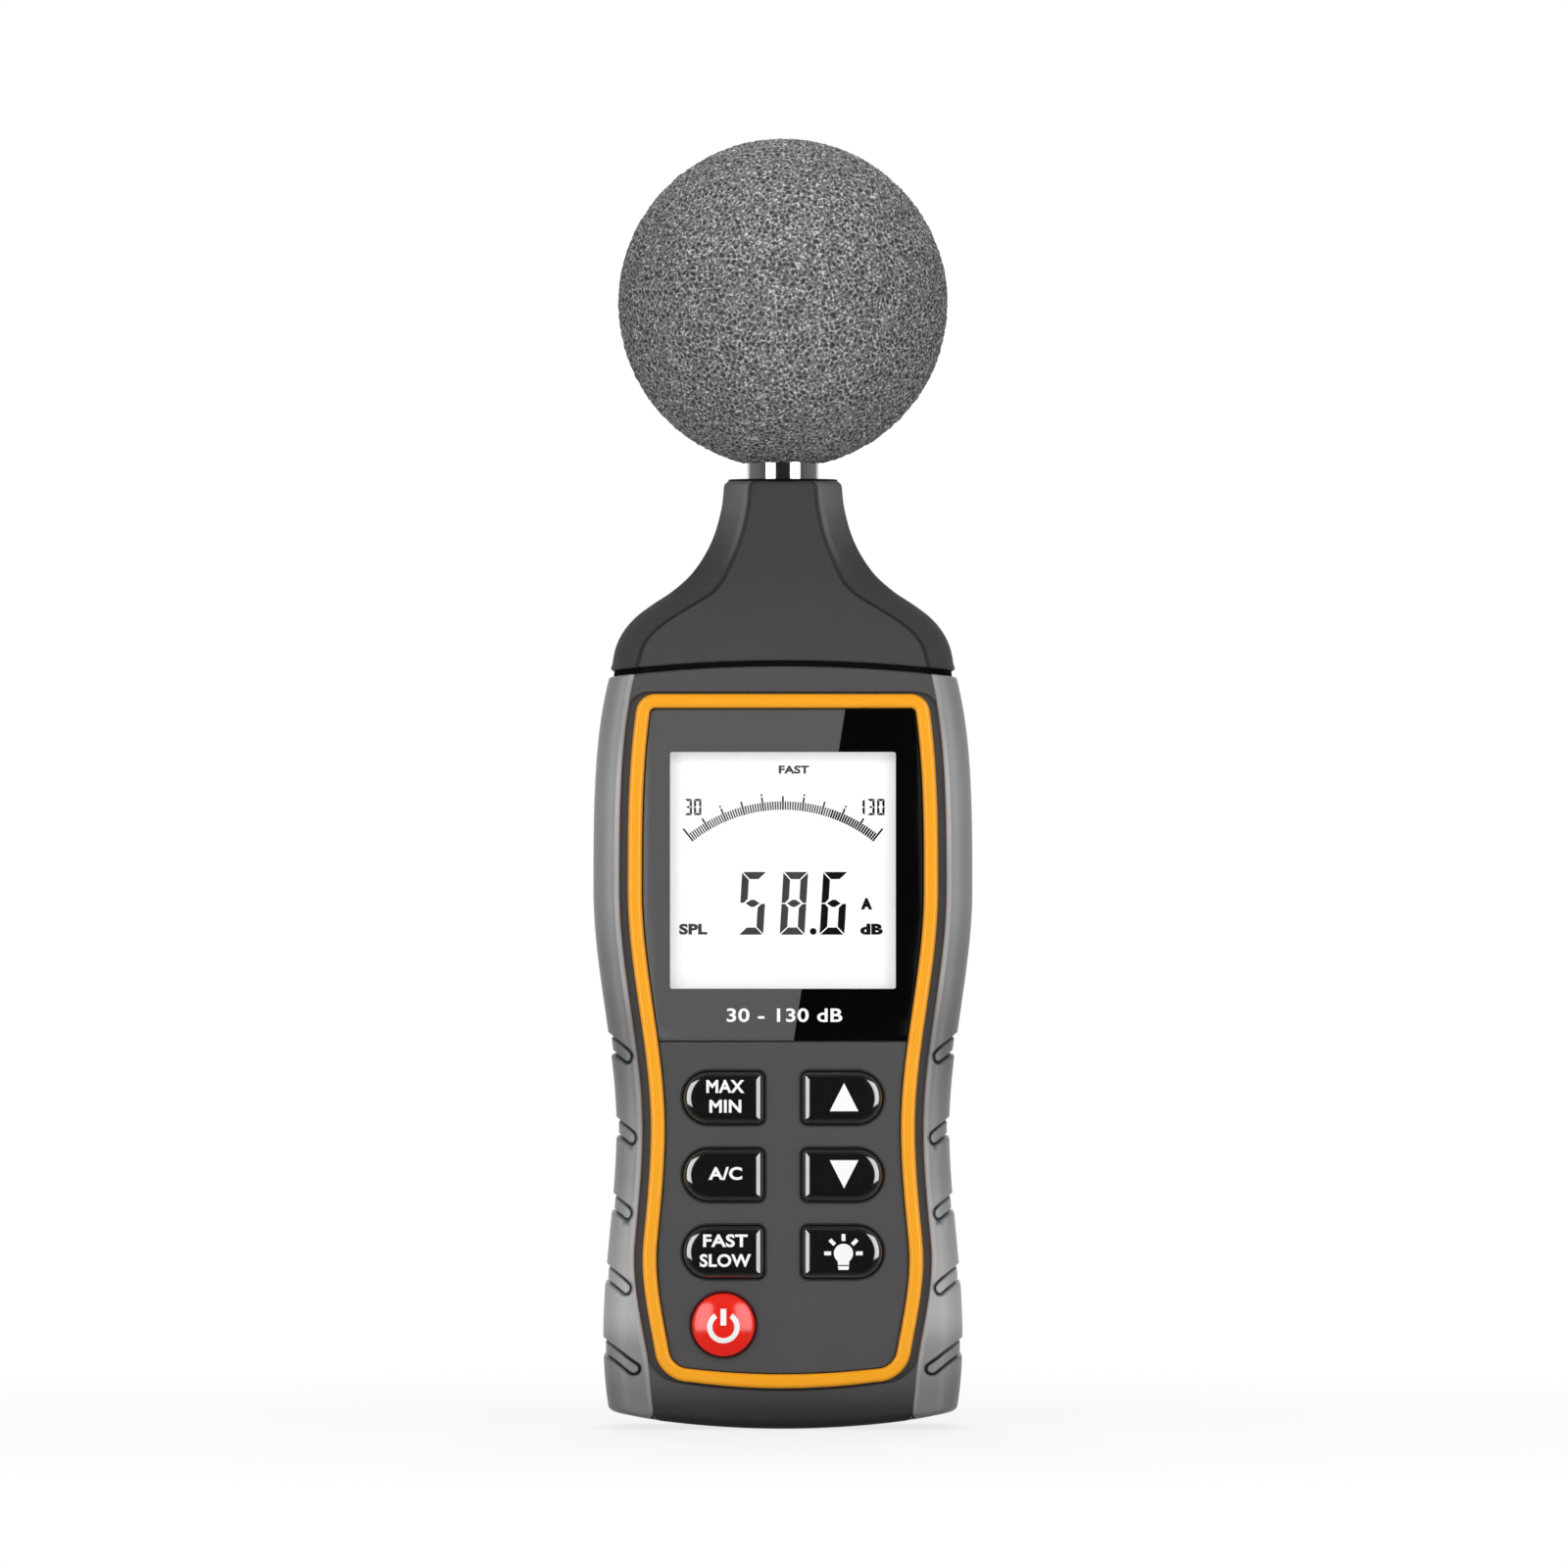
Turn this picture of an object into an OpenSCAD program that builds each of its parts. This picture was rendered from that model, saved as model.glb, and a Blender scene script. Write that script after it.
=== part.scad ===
// Handheld sound level meter with a ball windscreen, in millimetres.
// Heights run up from the foot, x runs across and y runs from front to back.
// The finished parts are moved so that the origin is the mouth of the tripod socket.

/* [Case] */
// Height of the case, from the foot to the seam under the head
case_h = 139; // [137:0.5:146]
// Depth of the case, from front to back
case_t = 34; // [33.5:0.5:40]
// Wall of the case and head shells
wall = 2; // [1.8:0.1:2.2]
// Width across the foot
foot_w = 65.4; // [64:0.2:70]
// Height of the foot's widest place
foot_z = 17; // [12:1:24]
// How far each side draws in under the foot's widest place
foot_draft = 1.1; // [0.4:0.1:2]
// Rounding around the underside
foot_r = 2; // [1:0.1:3]
// How far the underside bows down in its middle
foot_bow = 3.1; // [0:0.1:4]
// Width at the waist
waist_w = 60.6; // [59.6:0.2:64]
// Height of the waist
waist_z = 54.6; // [48:0.2:60]
// Width at the chest, the widest place
chest_w = 69; // [68:0.5:76]
// Height of the chest
chest_z = 98; // [90:1:106]
// Width at the shoulders, where the head starts
shoulder_w = 63; // [61:0.2:68]
// How far the seam under the head rises in its middle
seam_bow = 2; // [0:0.1:3]
// Gap at that seam, which the seal fills
seam_gap = 0.8; // [0.5:0.1:1.5]

/* [Grips] */
// Thickness of the soft grips
grip_t = 2; // [1.6:0.1:2.4]
// Width of a grip's strip on the front
grip_band = 4.8; // [4:0.1:5.4]
// How much wider that strip gets at the foot
grip_flare = 3.6; // [0:0.1:4]
// Height where the strip starts to widen
grip_flare_z = 34; // [28:1:40]
// How far the grips stand proud of the front
grip_rise = 0.4; // [0.1:0.1:0.8]
// Depth of the round edge that runs into the side
edge_d = 7; // [5:0.5:8]
// Width of the grooves
groove_w = 3; // [2:0.1:3.6]
// Depth of the grooves
groove_d = 0.7; // [0.6:0.1:1.3]
// Rise of the grooves towards the side, in degrees
groove_angle = 36; // [20:1:45]

/* [Head] */
// Height of the head, from the seam to the top of its collar
head_h = 33.4; // [30:0.2:40]
// Width of the collar
collar_w = 21.6; // [20.6:0.2:24]
// Depth of the collar
collar_t = 21; // [20:0.5:24]
// Width of the bevel along the head's front edges
bevel_w = 4.4; // [3:0.1:4.8]
// Rounding of the collar's top edge
collar_r = 1.1; // [0.6:0.1:1.6]

/* [Front] */
// Width of the plain rim between grip and trim
rim_w = 1.5; // [1:0.1:2]
// Width of the trim
trim_w = 2.6; // [2:0.1:3]
// How far the trim stands proud of the front
trim_rise = 1.1; // [0.5:0.1:1.6]
// Depth of the trim's seat in the case
trim_seat = 0.9; // [0.6:0.1:1]
// Height of the trim's lower edge
trim_bottom = 7.4; // [6:0.2:9]
// Distance from the trim's upper edge to the seam
trim_drop = 5.4; // [4.6:0.2:8]
// Corner radius at the top of the trim
trim_top_r = 3.6; // [3.2:0.2:6]
// Corner radius at the bottom of the trim
trim_bottom_r = 6.4; // [4:0.2:8]
// Thickness of the display lens
lens_t = 1; // [0.8:0.1:1.1]
// Height of the lens's lower edge
lens_bottom = 70.3; // [69.6:0.1:73]
// Width of the display window
window_w = 41; // [36:0.5:43]
// Height of the display window
window_h = 43; // [38:0.5:44]
// Height of the middle of the window
window_z = 101.5; // [100:0.5:103]

/* [Keys] */
// Width of a key
key_w = 14.6; // [12:0.2:15.6]
// Height of a key
key_h = 9.4; // [8:0.1:11]
// Distance of each key column from the middle
key_col = 10.8; // [10.2:0.1:11.4]
// Height of the middle of the top keys
key_top_z = 60.2; // [59:0.2:60.8]
// Distance from one key row to the next
key_pitch = 14; // [13.4:0.1:14.2]
// Diameter of the power button
power_d = 11.4; // [9:0.2:12]
// Height of the middle of the power button
power_z = 19; // [18:0.1:19.6]
// How far the keys stand proud of the front
key_rise = 1.6; // [1.3:0.1:2.4]
// Travel of the keys and of the power button
key_travel = 1.1; // [0.5:0.1:1.2]
// Gap around a key in its hole
key_gap = 0.25; // [0.15:0.05:0.4]

/* [Microphone] */
// Diameter of the microphone barrel
barrel_d = 13.2; // [12.6:0.1:13.6]
// Distance from the collar to the tip of the microphone
mic_reach = 32.8; // [28:0.2:36]
// Wall of the barrel
barrel_wall = 0.9; // [0.6:0.1:1.2]
// Height of the slotted cap on the tip
cap_h = 6.4; // [5:0.2:8]

/* [Windscreen] */
// Diameter of the foam ball
ball_d = 60; // [50:1:64]
// Distance from the collar to the underside of the ball
ball_gap = 3.3; // [1:0.1:6]
// Play of the ball's bore on the barrel
ball_play = 0.08; // [0.02:0.01:0.1]

/* [Battery compartment] */
// Diameter of a cell
cell_d = 10.5; // [10:0.1:10.8]
// Length of a cell, with its tip
cell_l = 44.5; // [42:0.5:46]
// Room beside each cell
cell_room = 0.6; // [0.3:0.1:0.8]
// Room for the spring at one end of a cell
spring_room = 4.6; // [4:0.1:5]
// Height of the compartment's floor above the foot
bay_z = 13; // [12:0.5:14]
// Thickness of the battery door
door_t = 2; // [1.6:0.1:2]
// Gap around the door
door_gap = 0.3; // [0.2:0.05:0.5]

/* [Tripod socket] */
// Height of the socket above the foot
socket_z = 86; // [84:0.5:92]
// Inner radius of the insert's thread
socket_r = 2.55; // [2.4:0.05:2.7]
// Outer radius of the insert
insert_r = 4.2; // [3.8:0.1:4.8]
// Length of the insert
insert_l = 8; // [6:0.5:10]

/* [Screws] */
// Shank radius of the case screws
screw_r = 1.3; // [1:0.05:1.4]
// Head radius of the case screws
screw_head_r = 2.3; // [2:0.1:2.4]
// Length of the case screws under the head
screw_l = 14; // [12:0.5:16]
// Shank radius of the board screws
board_screw_r = 1; // [0.8:0.05:1.1]
// Length of the board screws under the head
board_screw_l = 5.5; // [4:0.5:6]

/* [Hidden] */
$fn = 64;

eps = 0.01;           // overlap of joined shapes and of cuts
fit = 0.05;           // play of a piece in its seat
edge_w = grip_band - 0.3;

// Levels from front to back.
front_y = -case_t / 2;
back_y = case_t / 2;
key_top_y = front_y - key_rise;
inner_front_y = front_y + wall;
inner_back_y = back_y - wall;
flange_t = 0.8;
flange_back_y = inner_front_y + fit + flange_t;
mat_top_y = flange_back_y + key_travel + fit;
lcd_t = 2.8;
light_t = 2.3;
board_y = inner_front_y + fit + lcd_t + light_t + 0.35;
board_t = 1.6;
board_back_y = board_y + board_t;

// The board and what holds it.
board_w = 46;
board_z0 = 10.6;
board_z1 = case_h - 4.6;
boss_r = 2.6;
boss_x = board_w / 2 - boss_r;
boss_sites = [[boss_x, board_z0 + boss_r], [boss_x, lens_bottom + 0.6], [12, case_h - 8.4]];
lcd_w = window_w + 3;
lcd_h = window_h + 5.2;
lcd_frame_w = board_w - 0.4;
lcd_frame_h = lcd_h + 2.6;

// The battery compartment, open to the back.
bay_w = 3 * cell_d + 4 * cell_room;
plate_t = 0.4;
tip_room = 0.6;
bay_l = cell_l + spring_room + plate_t + tip_room;
bay_wall = 1.6;
bay_floor_y = inner_back_y - 1.2 - cell_d;
cell_y = bay_floor_y + 0.3 + cell_d / 2;
cell_step = cell_d + cell_room;
door_lip = 2.4;
door_screw_z = bay_z + bay_l + bay_wall + 3.6;
door_z0 = bay_z - door_lip;
door_z1 = door_screw_z + 4.6;
door_w = bay_w + 2 * bay_wall + 2 * door_lip;
door_r = 3;
door_inner_y = back_y - door_t;
cup_r = 3.4;
cup_d = 2.6;
door_head_y = back_y - 1.2;
door_screw_l = 7;

// The case and head screws.
chest_screw_z = case_h - 6;
foot_screw = [20, 6.9];
head_screw = [18.6, case_h + 6.6];
screw_boss_r = 2.7;
screw_edge = 0.6;     // plastic left between a screw's well and the grip
screw_seat_y = 8;
screw_head_t = 1.7;
well_r = screw_head_r + 0.3;
head_screw_l = screw_l - 2;

// The microphone.
collar_z = case_h + head_h;
barrel_r = barrel_d / 2;
tip_z = collar_z + mic_reach;
barrel_z0 = collar_z - 13;
barrel_z1 = tip_z - cap_h;
flange_r = barrel_r + 1;
flange_h = 2;
bush_r = barrel_r + 1.5;
bush_flange_r = barrel_r + 3.4;
bush_rise = 0.4;
clamp_t = 1.6;
clamp_z = barrel_z0 - clamp_t - fit;
ball_r = ball_d / 2;
ball_z = collar_z + ball_gap + sqrt(ball_r * ball_r - barrel_r * barrel_r);

// ---- Curves -------------------------------------------------------------

function mix(a, b, t) = a + (b - a) * t;
function clamp01(t) = min(1, max(0, t));
function ease(t) = let (u = clamp01(t)) u * u * (3 - 2 * u);
function flat(lists) = [for (list = lists) each list];

// Half width of the case at height h.
function case_half(h) =
  h < foot_z ? foot_w / 2 - foot_draft * pow(1 - h / foot_z, 2)
  : h < waist_z ? mix(foot_w, waist_w, ease((h - foot_z) / (waist_z - foot_z))) / 2
  : h < chest_z ? mix(waist_w, chest_w, ease((h - waist_z) / (chest_z - waist_z))) / 2
  : mix(chest_w, shoulder_w, pow((h - chest_z) / (case_h - chest_z), 3)) / 2;

// Width of a grip's strip on the front at height h, and where its inner edge lies.
function band(h) = grip_band + grip_flare * ease((grip_flare_z - h) / (grip_flare_z - 8));
function grip_edge(h) = case_half(h) - band(h);

chest_screw = [grip_edge(chest_screw_z) - well_r - screw_edge, chest_screw_z];

// The head narrows from shoulder to collar along a smooth curve: share of its height,
// share of the way in.
neck = [
  [0, 0], [0.12, 0.04], [0.2, 0.11], [0.27, 0.22], [0.33, 0.36], [0.4, 0.54], [0.5, 0.72],
  [0.66, 0.88], [0.84, 0.97], [1, 1]
];
function slope(k, i) =
  let (a = k[max(0, i - 1)], b = k[min(len(k) - 1, i + 1)]) (b[1] - a[1]) / (b[0] - a[0]);
function span(k, s, i = 0) = i >= len(k) - 2 || s < k[i + 1][0] ? i : span(k, s, i + 1);
function through(k, s) =
  let (
    i = span(k, s), a = k[i], b = k[i + 1], w = b[0] - a[0], t = (s - a[0]) / w,
    m0 = slope(k, i) * w, m1 = slope(k, i + 1) * w
  )
  a[1] * (1 + 2 * t) * pow(1 - t, 2) + m0 * t * pow(1 - t, 2)
  + b[1] * t * t * (3 - 2 * t) + m1 * t * t * (t - 1);
function narrowing(h) = through(neck, clamp01((h - case_h) / head_h));
function head_half(h) = mix(shoulder_w, collar_w, narrowing(h)) / 2;
// Seen from the side, it thins out more evenly.
function thinning(h) =
  let (t = clamp01((h - case_h) / head_h))
    mix(t, ease(t), 0.5);
function head_half_t(h) = mix(case_t, collar_t, thinning(h)) / 2;

// Underside and seam are bowed, so a point's height depends on how far it is from the middle.
bow_reach = 20;
function lift(h, x) =
  foot_bow * pow(x / (foot_w / 2) * clamp01(1 - h / bow_reach), 2)
  - seam_bow * pow(x / (shoulder_w / 2) * clamp01(1 - abs(case_h - h) / bow_reach), 2);
function bowed(ring, h) = [for (p = ring) [p[0], p[1], h + lift(h, p[0])]];

// A corner from the side at [w, -(d - cd)] to the front at [w - cw, -d]: round where full is 1,
// a straight bevel where it is 0.
function corner(w, d, cw, cd, full, steps) = [
  for (i = [0:steps])
    let (t = i / steps, a = 90 * t)
      [w - cw * mix(t, 1 - cos(a), full), -(d - cd) - cd * mix(t, sin(a), full)]
];

// From the right half of a profile, side to front, to the whole one, left to right, with
// points along the flat front that let it bow.
flat_points = 10;
function both(half) = let (last = half[len(half) - 1]) concat(
  [for (p = half) [-p[0], p[1]]],
  [for (i = [0:flat_points - 1]) [last[0] * ((2 * i + 1) / flat_points - 1), last[1]]],
  [for (i = [len(half) - 1:-1:0]) half[i]]
);

// Levels from a to b, the first few along a rounding of radius r.
round_steps = 3;
function levels(a, b, r, count) = concat(
  [for (i = [0:round_steps - 1]) a + sign(b - a) * r * (1 - cos(90 * i / round_steps))],
  [for (i = [0:count]) mix(a + sign(b - a) * r, b, i / count)]
);
function rounding(i, r) = i >= round_steps ? 0 : r * (1 - sin(90 * i / round_steps));

// ---- Lofted shells ------------------------------------------------------

// An open half shell, from rings of outer and inner points that run from its closed end to
// its open end. Each ring starts and ends on the parting plane. Up tells which way they run.
module tray(outer, inner, up = true) {
  rows = len(outer);
  top = rows - 1;
  n = len(outer[0]);
  grid = rows * n;
  floors = [for (rings = [outer, inner]) [for (i = [2:n - 3]) [rings[0][i][0], 0, rings[0][i][2]]]];
  points = concat(flat(outer), flat(inner), floors[0], floors[1]);
  function at(k, j, i) = k * grid + j * n + i;
  function foot(k, i) =
    i == 1 ? at(k, 0, 0) : i == n - 2 ? at(k, 0, n - 1) : 2 * grid + k * (n - 4) + i - 2;
  faces = concat(
    [for (j = [0:rows - 2], i = [0:n - 2]) [at(0, j, i), at(0, j + 1, i), at(0, j + 1, i + 1)]],
    [for (j = [0:rows - 2], i = [0:n - 2]) [at(0, j, i), at(0, j + 1, i + 1), at(0, j, i + 1)]],
    [for (j = [0:rows - 2], i = [0:n - 2]) [at(1, j, i), at(1, j + 1, i + 1), at(1, j + 1, i)]],
    [for (j = [0:rows - 2], i = [0:n - 2]) [at(1, j, i), at(1, j, i + 1), at(1, j + 1, i + 1)]],
    [for (i = [1:n - 3]) [at(0, 0, i), at(0, 0, i + 1), foot(0, i + 1), foot(0, i)]],
    [for (i = [1:n - 3]) [at(1, 0, i), foot(1, i), foot(1, i + 1), at(1, 0, i + 1)]],
    [for (j = [0:rows - 2]) [at(1, j, 0), at(1, j + 1, 0), at(0, j + 1, 0), at(0, j, 0)]],
    [for (j = [0:rows - 2]) [at(0, j, n - 1), at(0, j + 1, n - 1), at(1, j + 1, n - 1), at(1, j, n - 1)]],
    [for (i = [1:n - 3]) [foot(0, i + 1), foot(1, i + 1), foot(1, i), foot(0, i)]],
    [for (i = [0:n - 2]) [at(0, top, i), at(1, top, i), at(1, top, i + 1), at(0, top, i + 1)]]
  );
  turned = [for (f = faces) [for (i = [len(f) - 1:-1:0]) f[i]]];
  polyhedron(points, up ? faces : turned, convexity = 6);
}

// A solid strip between two lists of rows, closed all round. The rows run upwards.
module strip(outer, inner) {
  rows = len(outer);
  top = rows - 1;
  n = len(outer[0]);
  grid = rows * n;
  function at(k, j, i) = k * grid + j * n + i;
  faces = concat(
    [for (j = [0:rows - 2], i = [0:n - 2]) [at(0, j, i), at(0, j + 1, i), at(0, j + 1, i + 1)]],
    [for (j = [0:rows - 2], i = [0:n - 2]) [at(0, j, i), at(0, j + 1, i + 1), at(0, j, i + 1)]],
    [for (j = [0:rows - 2], i = [0:n - 2]) [at(1, j, i), at(1, j + 1, i + 1), at(1, j + 1, i)]],
    [for (j = [0:rows - 2], i = [0:n - 2]) [at(1, j, i), at(1, j, i + 1), at(1, j + 1, i + 1)]],
    [for (j = [0:rows - 2]) [at(1, j, 0), at(1, j + 1, 0), at(0, j + 1, 0), at(0, j, 0)]],
    [for (j = [0:rows - 2]) [at(0, j, n - 1), at(0, j + 1, n - 1), at(1, j + 1, n - 1), at(1, j, n - 1)]],
    [for (i = [0:n - 2]) [at(0, 0, i), at(0, 0, i + 1), at(1, 0, i + 1), at(1, 0, i)]],
    [for (i = [0:n - 2]) [at(0, top, i), at(1, top, i), at(1, top, i + 1), at(0, top, i + 1)]]
  );
  polyhedron(concat(flat(outer), flat(inner)), faces, convexity = 6);
}

// ---- Case sections ------------------------------------------------------

corner_steps = 5;
case_top = case_h - seam_gap / 2;
head_foot = case_h + seam_gap / 2;
case_rows = 20;
head_rows = 20;
step_draft = 0.3;

// Right half of the case's outer profile, which steps down under the grip.
function case_outer(h, inset) =
  let (
    edge = grip_edge(h) - inset, w = case_half(h) - grip_t - inset,
    d = case_t / 2 - grip_t - inset, low = edge + step_draft
  )
  concat([[w, 0]], corner(w, d, w - low, edge_d - grip_t, 1, corner_steps), [[edge, -(d + grip_t)]]);

function case_inner(h) =
  let (
    edge = grip_edge(h) - wall, w = case_half(h) - grip_t - wall,
    d = case_t / 2 - grip_t - wall, low = edge + step_draft
  )
  concat([[w, 0]], corner(w, d, w - low, edge_d - grip_t - 1, 1, corner_steps), [[edge, -(d + grip_t)]]);

case_levels = levels(0, case_top, foot_r, case_rows);

module case_tray() {
  outer = [
    for (i = [0:len(case_levels) - 1])
      let (h = case_levels[i], half = case_outer(h, rounding(i, foot_r)))
        bowed(both(half), h)
  ];
  inner = [
    for (level = case_levels)
      let (h = mix(wall, case_top, level / case_top), half = case_inner(h))
        bowed(both(half), h)
  ];
  tray(outer, inner);
}

// The head's profile: bevelled at the front, and deeper bevels where it meets the case.
function bevel_d(h) = mix(edge_d, 4, narrowing(h));
function head_outer(h, inset) =
  let (w = head_half(h) - inset, d = head_half_t(h) - inset)
  concat([[w, 0]], corner(w, d, bevel_w, bevel_d(h), 0.35, 4));
function head_inner(h) =
  let (w = head_half(h) - wall, d = head_half_t(h) - wall)
  concat([[w, 0]], corner(w, d, bevel_w - 0.6, bevel_d(h) - 0.6, 0.35, 4));

head_levels = levels(collar_z, head_foot, collar_r, head_rows);

module head_tray() {
  outer = [
    for (i = [0:len(head_levels) - 1])
      let (h = head_levels[i], half = head_outer(h, rounding(i, collar_r)))
        bowed(both(half), h)
  ];
  inner = [
    for (level = head_levels)
      let (
        h = mix(head_foot, collar_z - wall, (level - head_foot) / (collar_z - head_foot)),
        half = head_inner(h)
      )
        bowed(both(half), h)
  ];
  tray(outer, inner, up = false);
}

// ---- Plates and outlines ------------------------------------------------

// Points around the trim, inset by d from its outer edge.
function trim_half(h, d) = grip_edge(h) - rim_w - d;
function side_angle(h) = atan((trim_half(h - 0.5, 0) - trim_half(h + 0.5, 0)));
function arc(x, z, r, a0, a1, steps) = [
  for (i = [0:steps]) let (a = mix(a0, a1, i / steps)) [x + r * cos(a), z + r * sin(a)]
];
function trim_points(d) =
  let (
    z0 = trim_bottom + d, z1 = case_h - trim_drop - d,
    r0 = max(1, trim_bottom_r - d), r1 = max(0.8, trim_top_r - d),
    a0 = side_angle(z0 + r0), a1 = side_angle(z1 - r1),
    sag = lift(0, trim_half(z0 + r0, d) - r0 / 2),
    c0 = [trim_half(z0 + sag + r0 + r0 * sin(a0), d) - r0 * cos(a0), z0 + sag + r0],
    c1 = [trim_half(z1 - r1 + r1 * sin(a1), d) - r1 * cos(a1), z1 - r1],
    low = c0[1] + r0 * sin(a0), high = c1[1] + r1 * sin(a1),
    right = concat(
      [for (i = [0:3]) let (x = c0[0] * i / 4) [x, z0 + sag * pow(x / c0[0], 2)]],
      arc(c0[0], c0[1], r0, -84, a0, 8),
      [for (i = [1:27]) let (h = mix(low, high, i / 28)) [trim_half(h, d), h]],
      arc(c1[0], c1[1], r1, a1, 90, 6)
    )
  )
  concat(right, [for (i = [len(right) - 1:-1:1]) [-right[i][0], right[i][1]]]);

// Turns a flat shape drawn in x and z into a plate from y0 back to y1.
module plate(y0, y1) {
  translate([0, y1, 0]) rotate([90, 0, 0]) linear_extrude(y1 - y0) children();
}

module rod(x, z, r, y0, y1) {
  translate([x, y0, z]) rotate([-90, 0, 0]) cylinder(r = r, h = y1 - y0);
}

module block(x0, x1, y0, y1, z0, z1) {
  translate([x0, y0, z0]) cube([x1 - x0, y1 - y0, z1 - z0]);
}

module round_rect(x0, x1, z0, z1, r) {
  translate([x0 + r, z0]) square([x1 - x0 - 2 * r, z1 - z0]);
  translate([x0, z0 + r]) square([x1 - x0, z1 - z0 - 2 * r]);
  for (x = [x0 + r, x1 - r], z = [z0 + r, z1 - r]) translate([x, z]) circle(r);
}

module lens_outline(d) {
  intersection() {
    polygon(trim_points(trim_w + d));
    translate([-chest_w / 2, lens_bottom + d]) square([chest_w, case_h]);
  }
}

// A key: round on its outer side, which faces away from the middle, square on the other.
key_corner_r = 1;
module key_outline(side, grow) {
  w = key_w / 2 + grow;
  h = key_h / 2 + grow;
  r = key_corner_r + grow;
  mirror([side < 0 ? 1 : 0, 0]) {
    translate([w - h, 0]) circle(h);
    translate([r - w, -h]) square([2 * w - h - r, 2 * h]);
    translate([-w, r - h]) square([r + eps, 2 * h - 2 * r]);
    for (z = [r - h, h - r]) translate([r - w, z]) circle(r);
  }
}

function key_place(side, row) = [side * key_col, key_top_z - row * key_pitch];
key_sites = [for (side = [-1, 1], row = [0:2]) [side, key_place(side, row)]];
power_place = [-key_col, power_z];

// The microphone's board stands in the head, held between posts on both shells.
mic_board_w = 14;
mic_board_t = 1.2;
mic_board_z0 = case_h + 4;
mic_board_z1 = clamp_z - 1.5;
mic_post_x = mic_board_w / 2 - 1.4;
mic_post_heights = [mic_board_z0 + 2, mic_board_z1 - 2];

// ---- Case ---------------------------------------------------------------

module case_posts(r, y0, y1) {
  for (s = [-1, 1], at = [chest_screw, foot_screw]) rod(s * at[0], at[1], r, y0, y1);
}

module board_posts(r, y0, y1) {
  for (s = [-1, 1], at = boss_sites) rod(s * at[0], at[1], r, y0, y1);
}

module front_case() {
  color([0.27, 0.27, 0.28]) difference() {
    union() {
      case_tray();
      case_posts(screw_boss_r, inner_front_y - wall / 2, 0);
      board_posts(boss_r, inner_front_y - eps, board_y);
    }
    plate(front_y - 1, front_y + trim_seat) difference() {
      polygon(trim_points(0));
      polygon(trim_points(trim_w));
    }
    plate(front_y - 1, front_y + lens_t) lens_outline(0);
    block(-window_w / 2 - 0.4, window_w / 2 + 0.4, front_y - 1, inner_front_y + 1,
      window_z - window_h / 2 - 0.4, window_z + window_h / 2 + 0.4);
    for (site = key_sites)
      plate(front_y - 1, inner_front_y + 1) translate(site[1]) key_outline(site[0], key_gap);
    rod(power_place[0], power_place[1], power_d / 2 + key_gap, front_y - 1, inner_front_y + 1);
    case_posts(screw_r, screw_seat_y - screw_l - 0.5, 1);
    board_posts(board_screw_r, board_back_y - board_screw_l - 0.5, board_y + 1);
  }
}

bay_half = bay_w / 2;
bay_z1 = bay_z + bay_l;
contact_half = 4;
lead_r = 0.7;
lead_sites = [[-cell_step, bay_z + lead_r], [cell_step, bay_z1 - lead_r]];

module rear_case() {
  color([0.25, 0.25, 0.26]) difference() {
    union() {
      mirror([0, 1, 0]) case_tray();
      case_posts(screw_boss_r, 0, inner_back_y + eps);
      block(-bay_half - bay_wall, bay_half + bay_wall, bay_floor_y - bay_wall, inner_back_y + eps,
        bay_z - bay_wall, bay_z1 + bay_wall);
      plate(door_inner_y - 1.4, inner_back_y + eps)
        round_rect(-door_w / 2 - 1, door_w / 2 + 1, door_z0 - 1, door_z1 + 1, door_r + 1);
      rod(0, door_screw_z, screw_boss_r, bay_floor_y, door_inner_y - cup_d - 0.2);
      block(-1, 1, bay_floor_y, door_inner_y - cup_d - 0.2, bay_z1, door_screw_z - screw_r - 0.4);
      rod(0, socket_z, insert_r + 2, back_y - insert_l - 2, inner_back_y + eps);
    }
    plate(door_inner_y, back_y + 1) round_rect(-door_w / 2, door_w / 2, door_z0, door_z1, door_r);
    block(-bay_half, bay_half, bay_floor_y, back_y + 1, bay_z, bay_z1);
    rod(0, door_screw_z, cup_r + 0.3, door_inner_y - cup_d - 0.2, back_y);
    rod(0, door_screw_z, screw_r + fit, bay_floor_y + 1.5, back_y);
    rod(0, socket_z, insert_r, back_y - insert_l, back_y + 1);
    case_posts(screw_r + fit, -1, back_y);
    case_posts(well_r, screw_seat_y, back_y + 1);
    for (at = lead_sites) rod(at[0], at[1], lead_r + fit, bay_floor_y - bay_wall - 1, bay_floor_y + 1);
    plate(back_y - 0.3, back_y + 1)
      round_rect(-label_w / 2, label_w / 2, label_z0, label_z0 + label_h, 2);
  }
}

// Blank recess for a rating plate.
label_w = 38;
label_h = 24;
label_z0 = socket_z + 12;

// ---- Head ---------------------------------------------------------------

tongue_w = 30;
tongue_t = 1.6;
tongue_l = 5;

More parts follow.
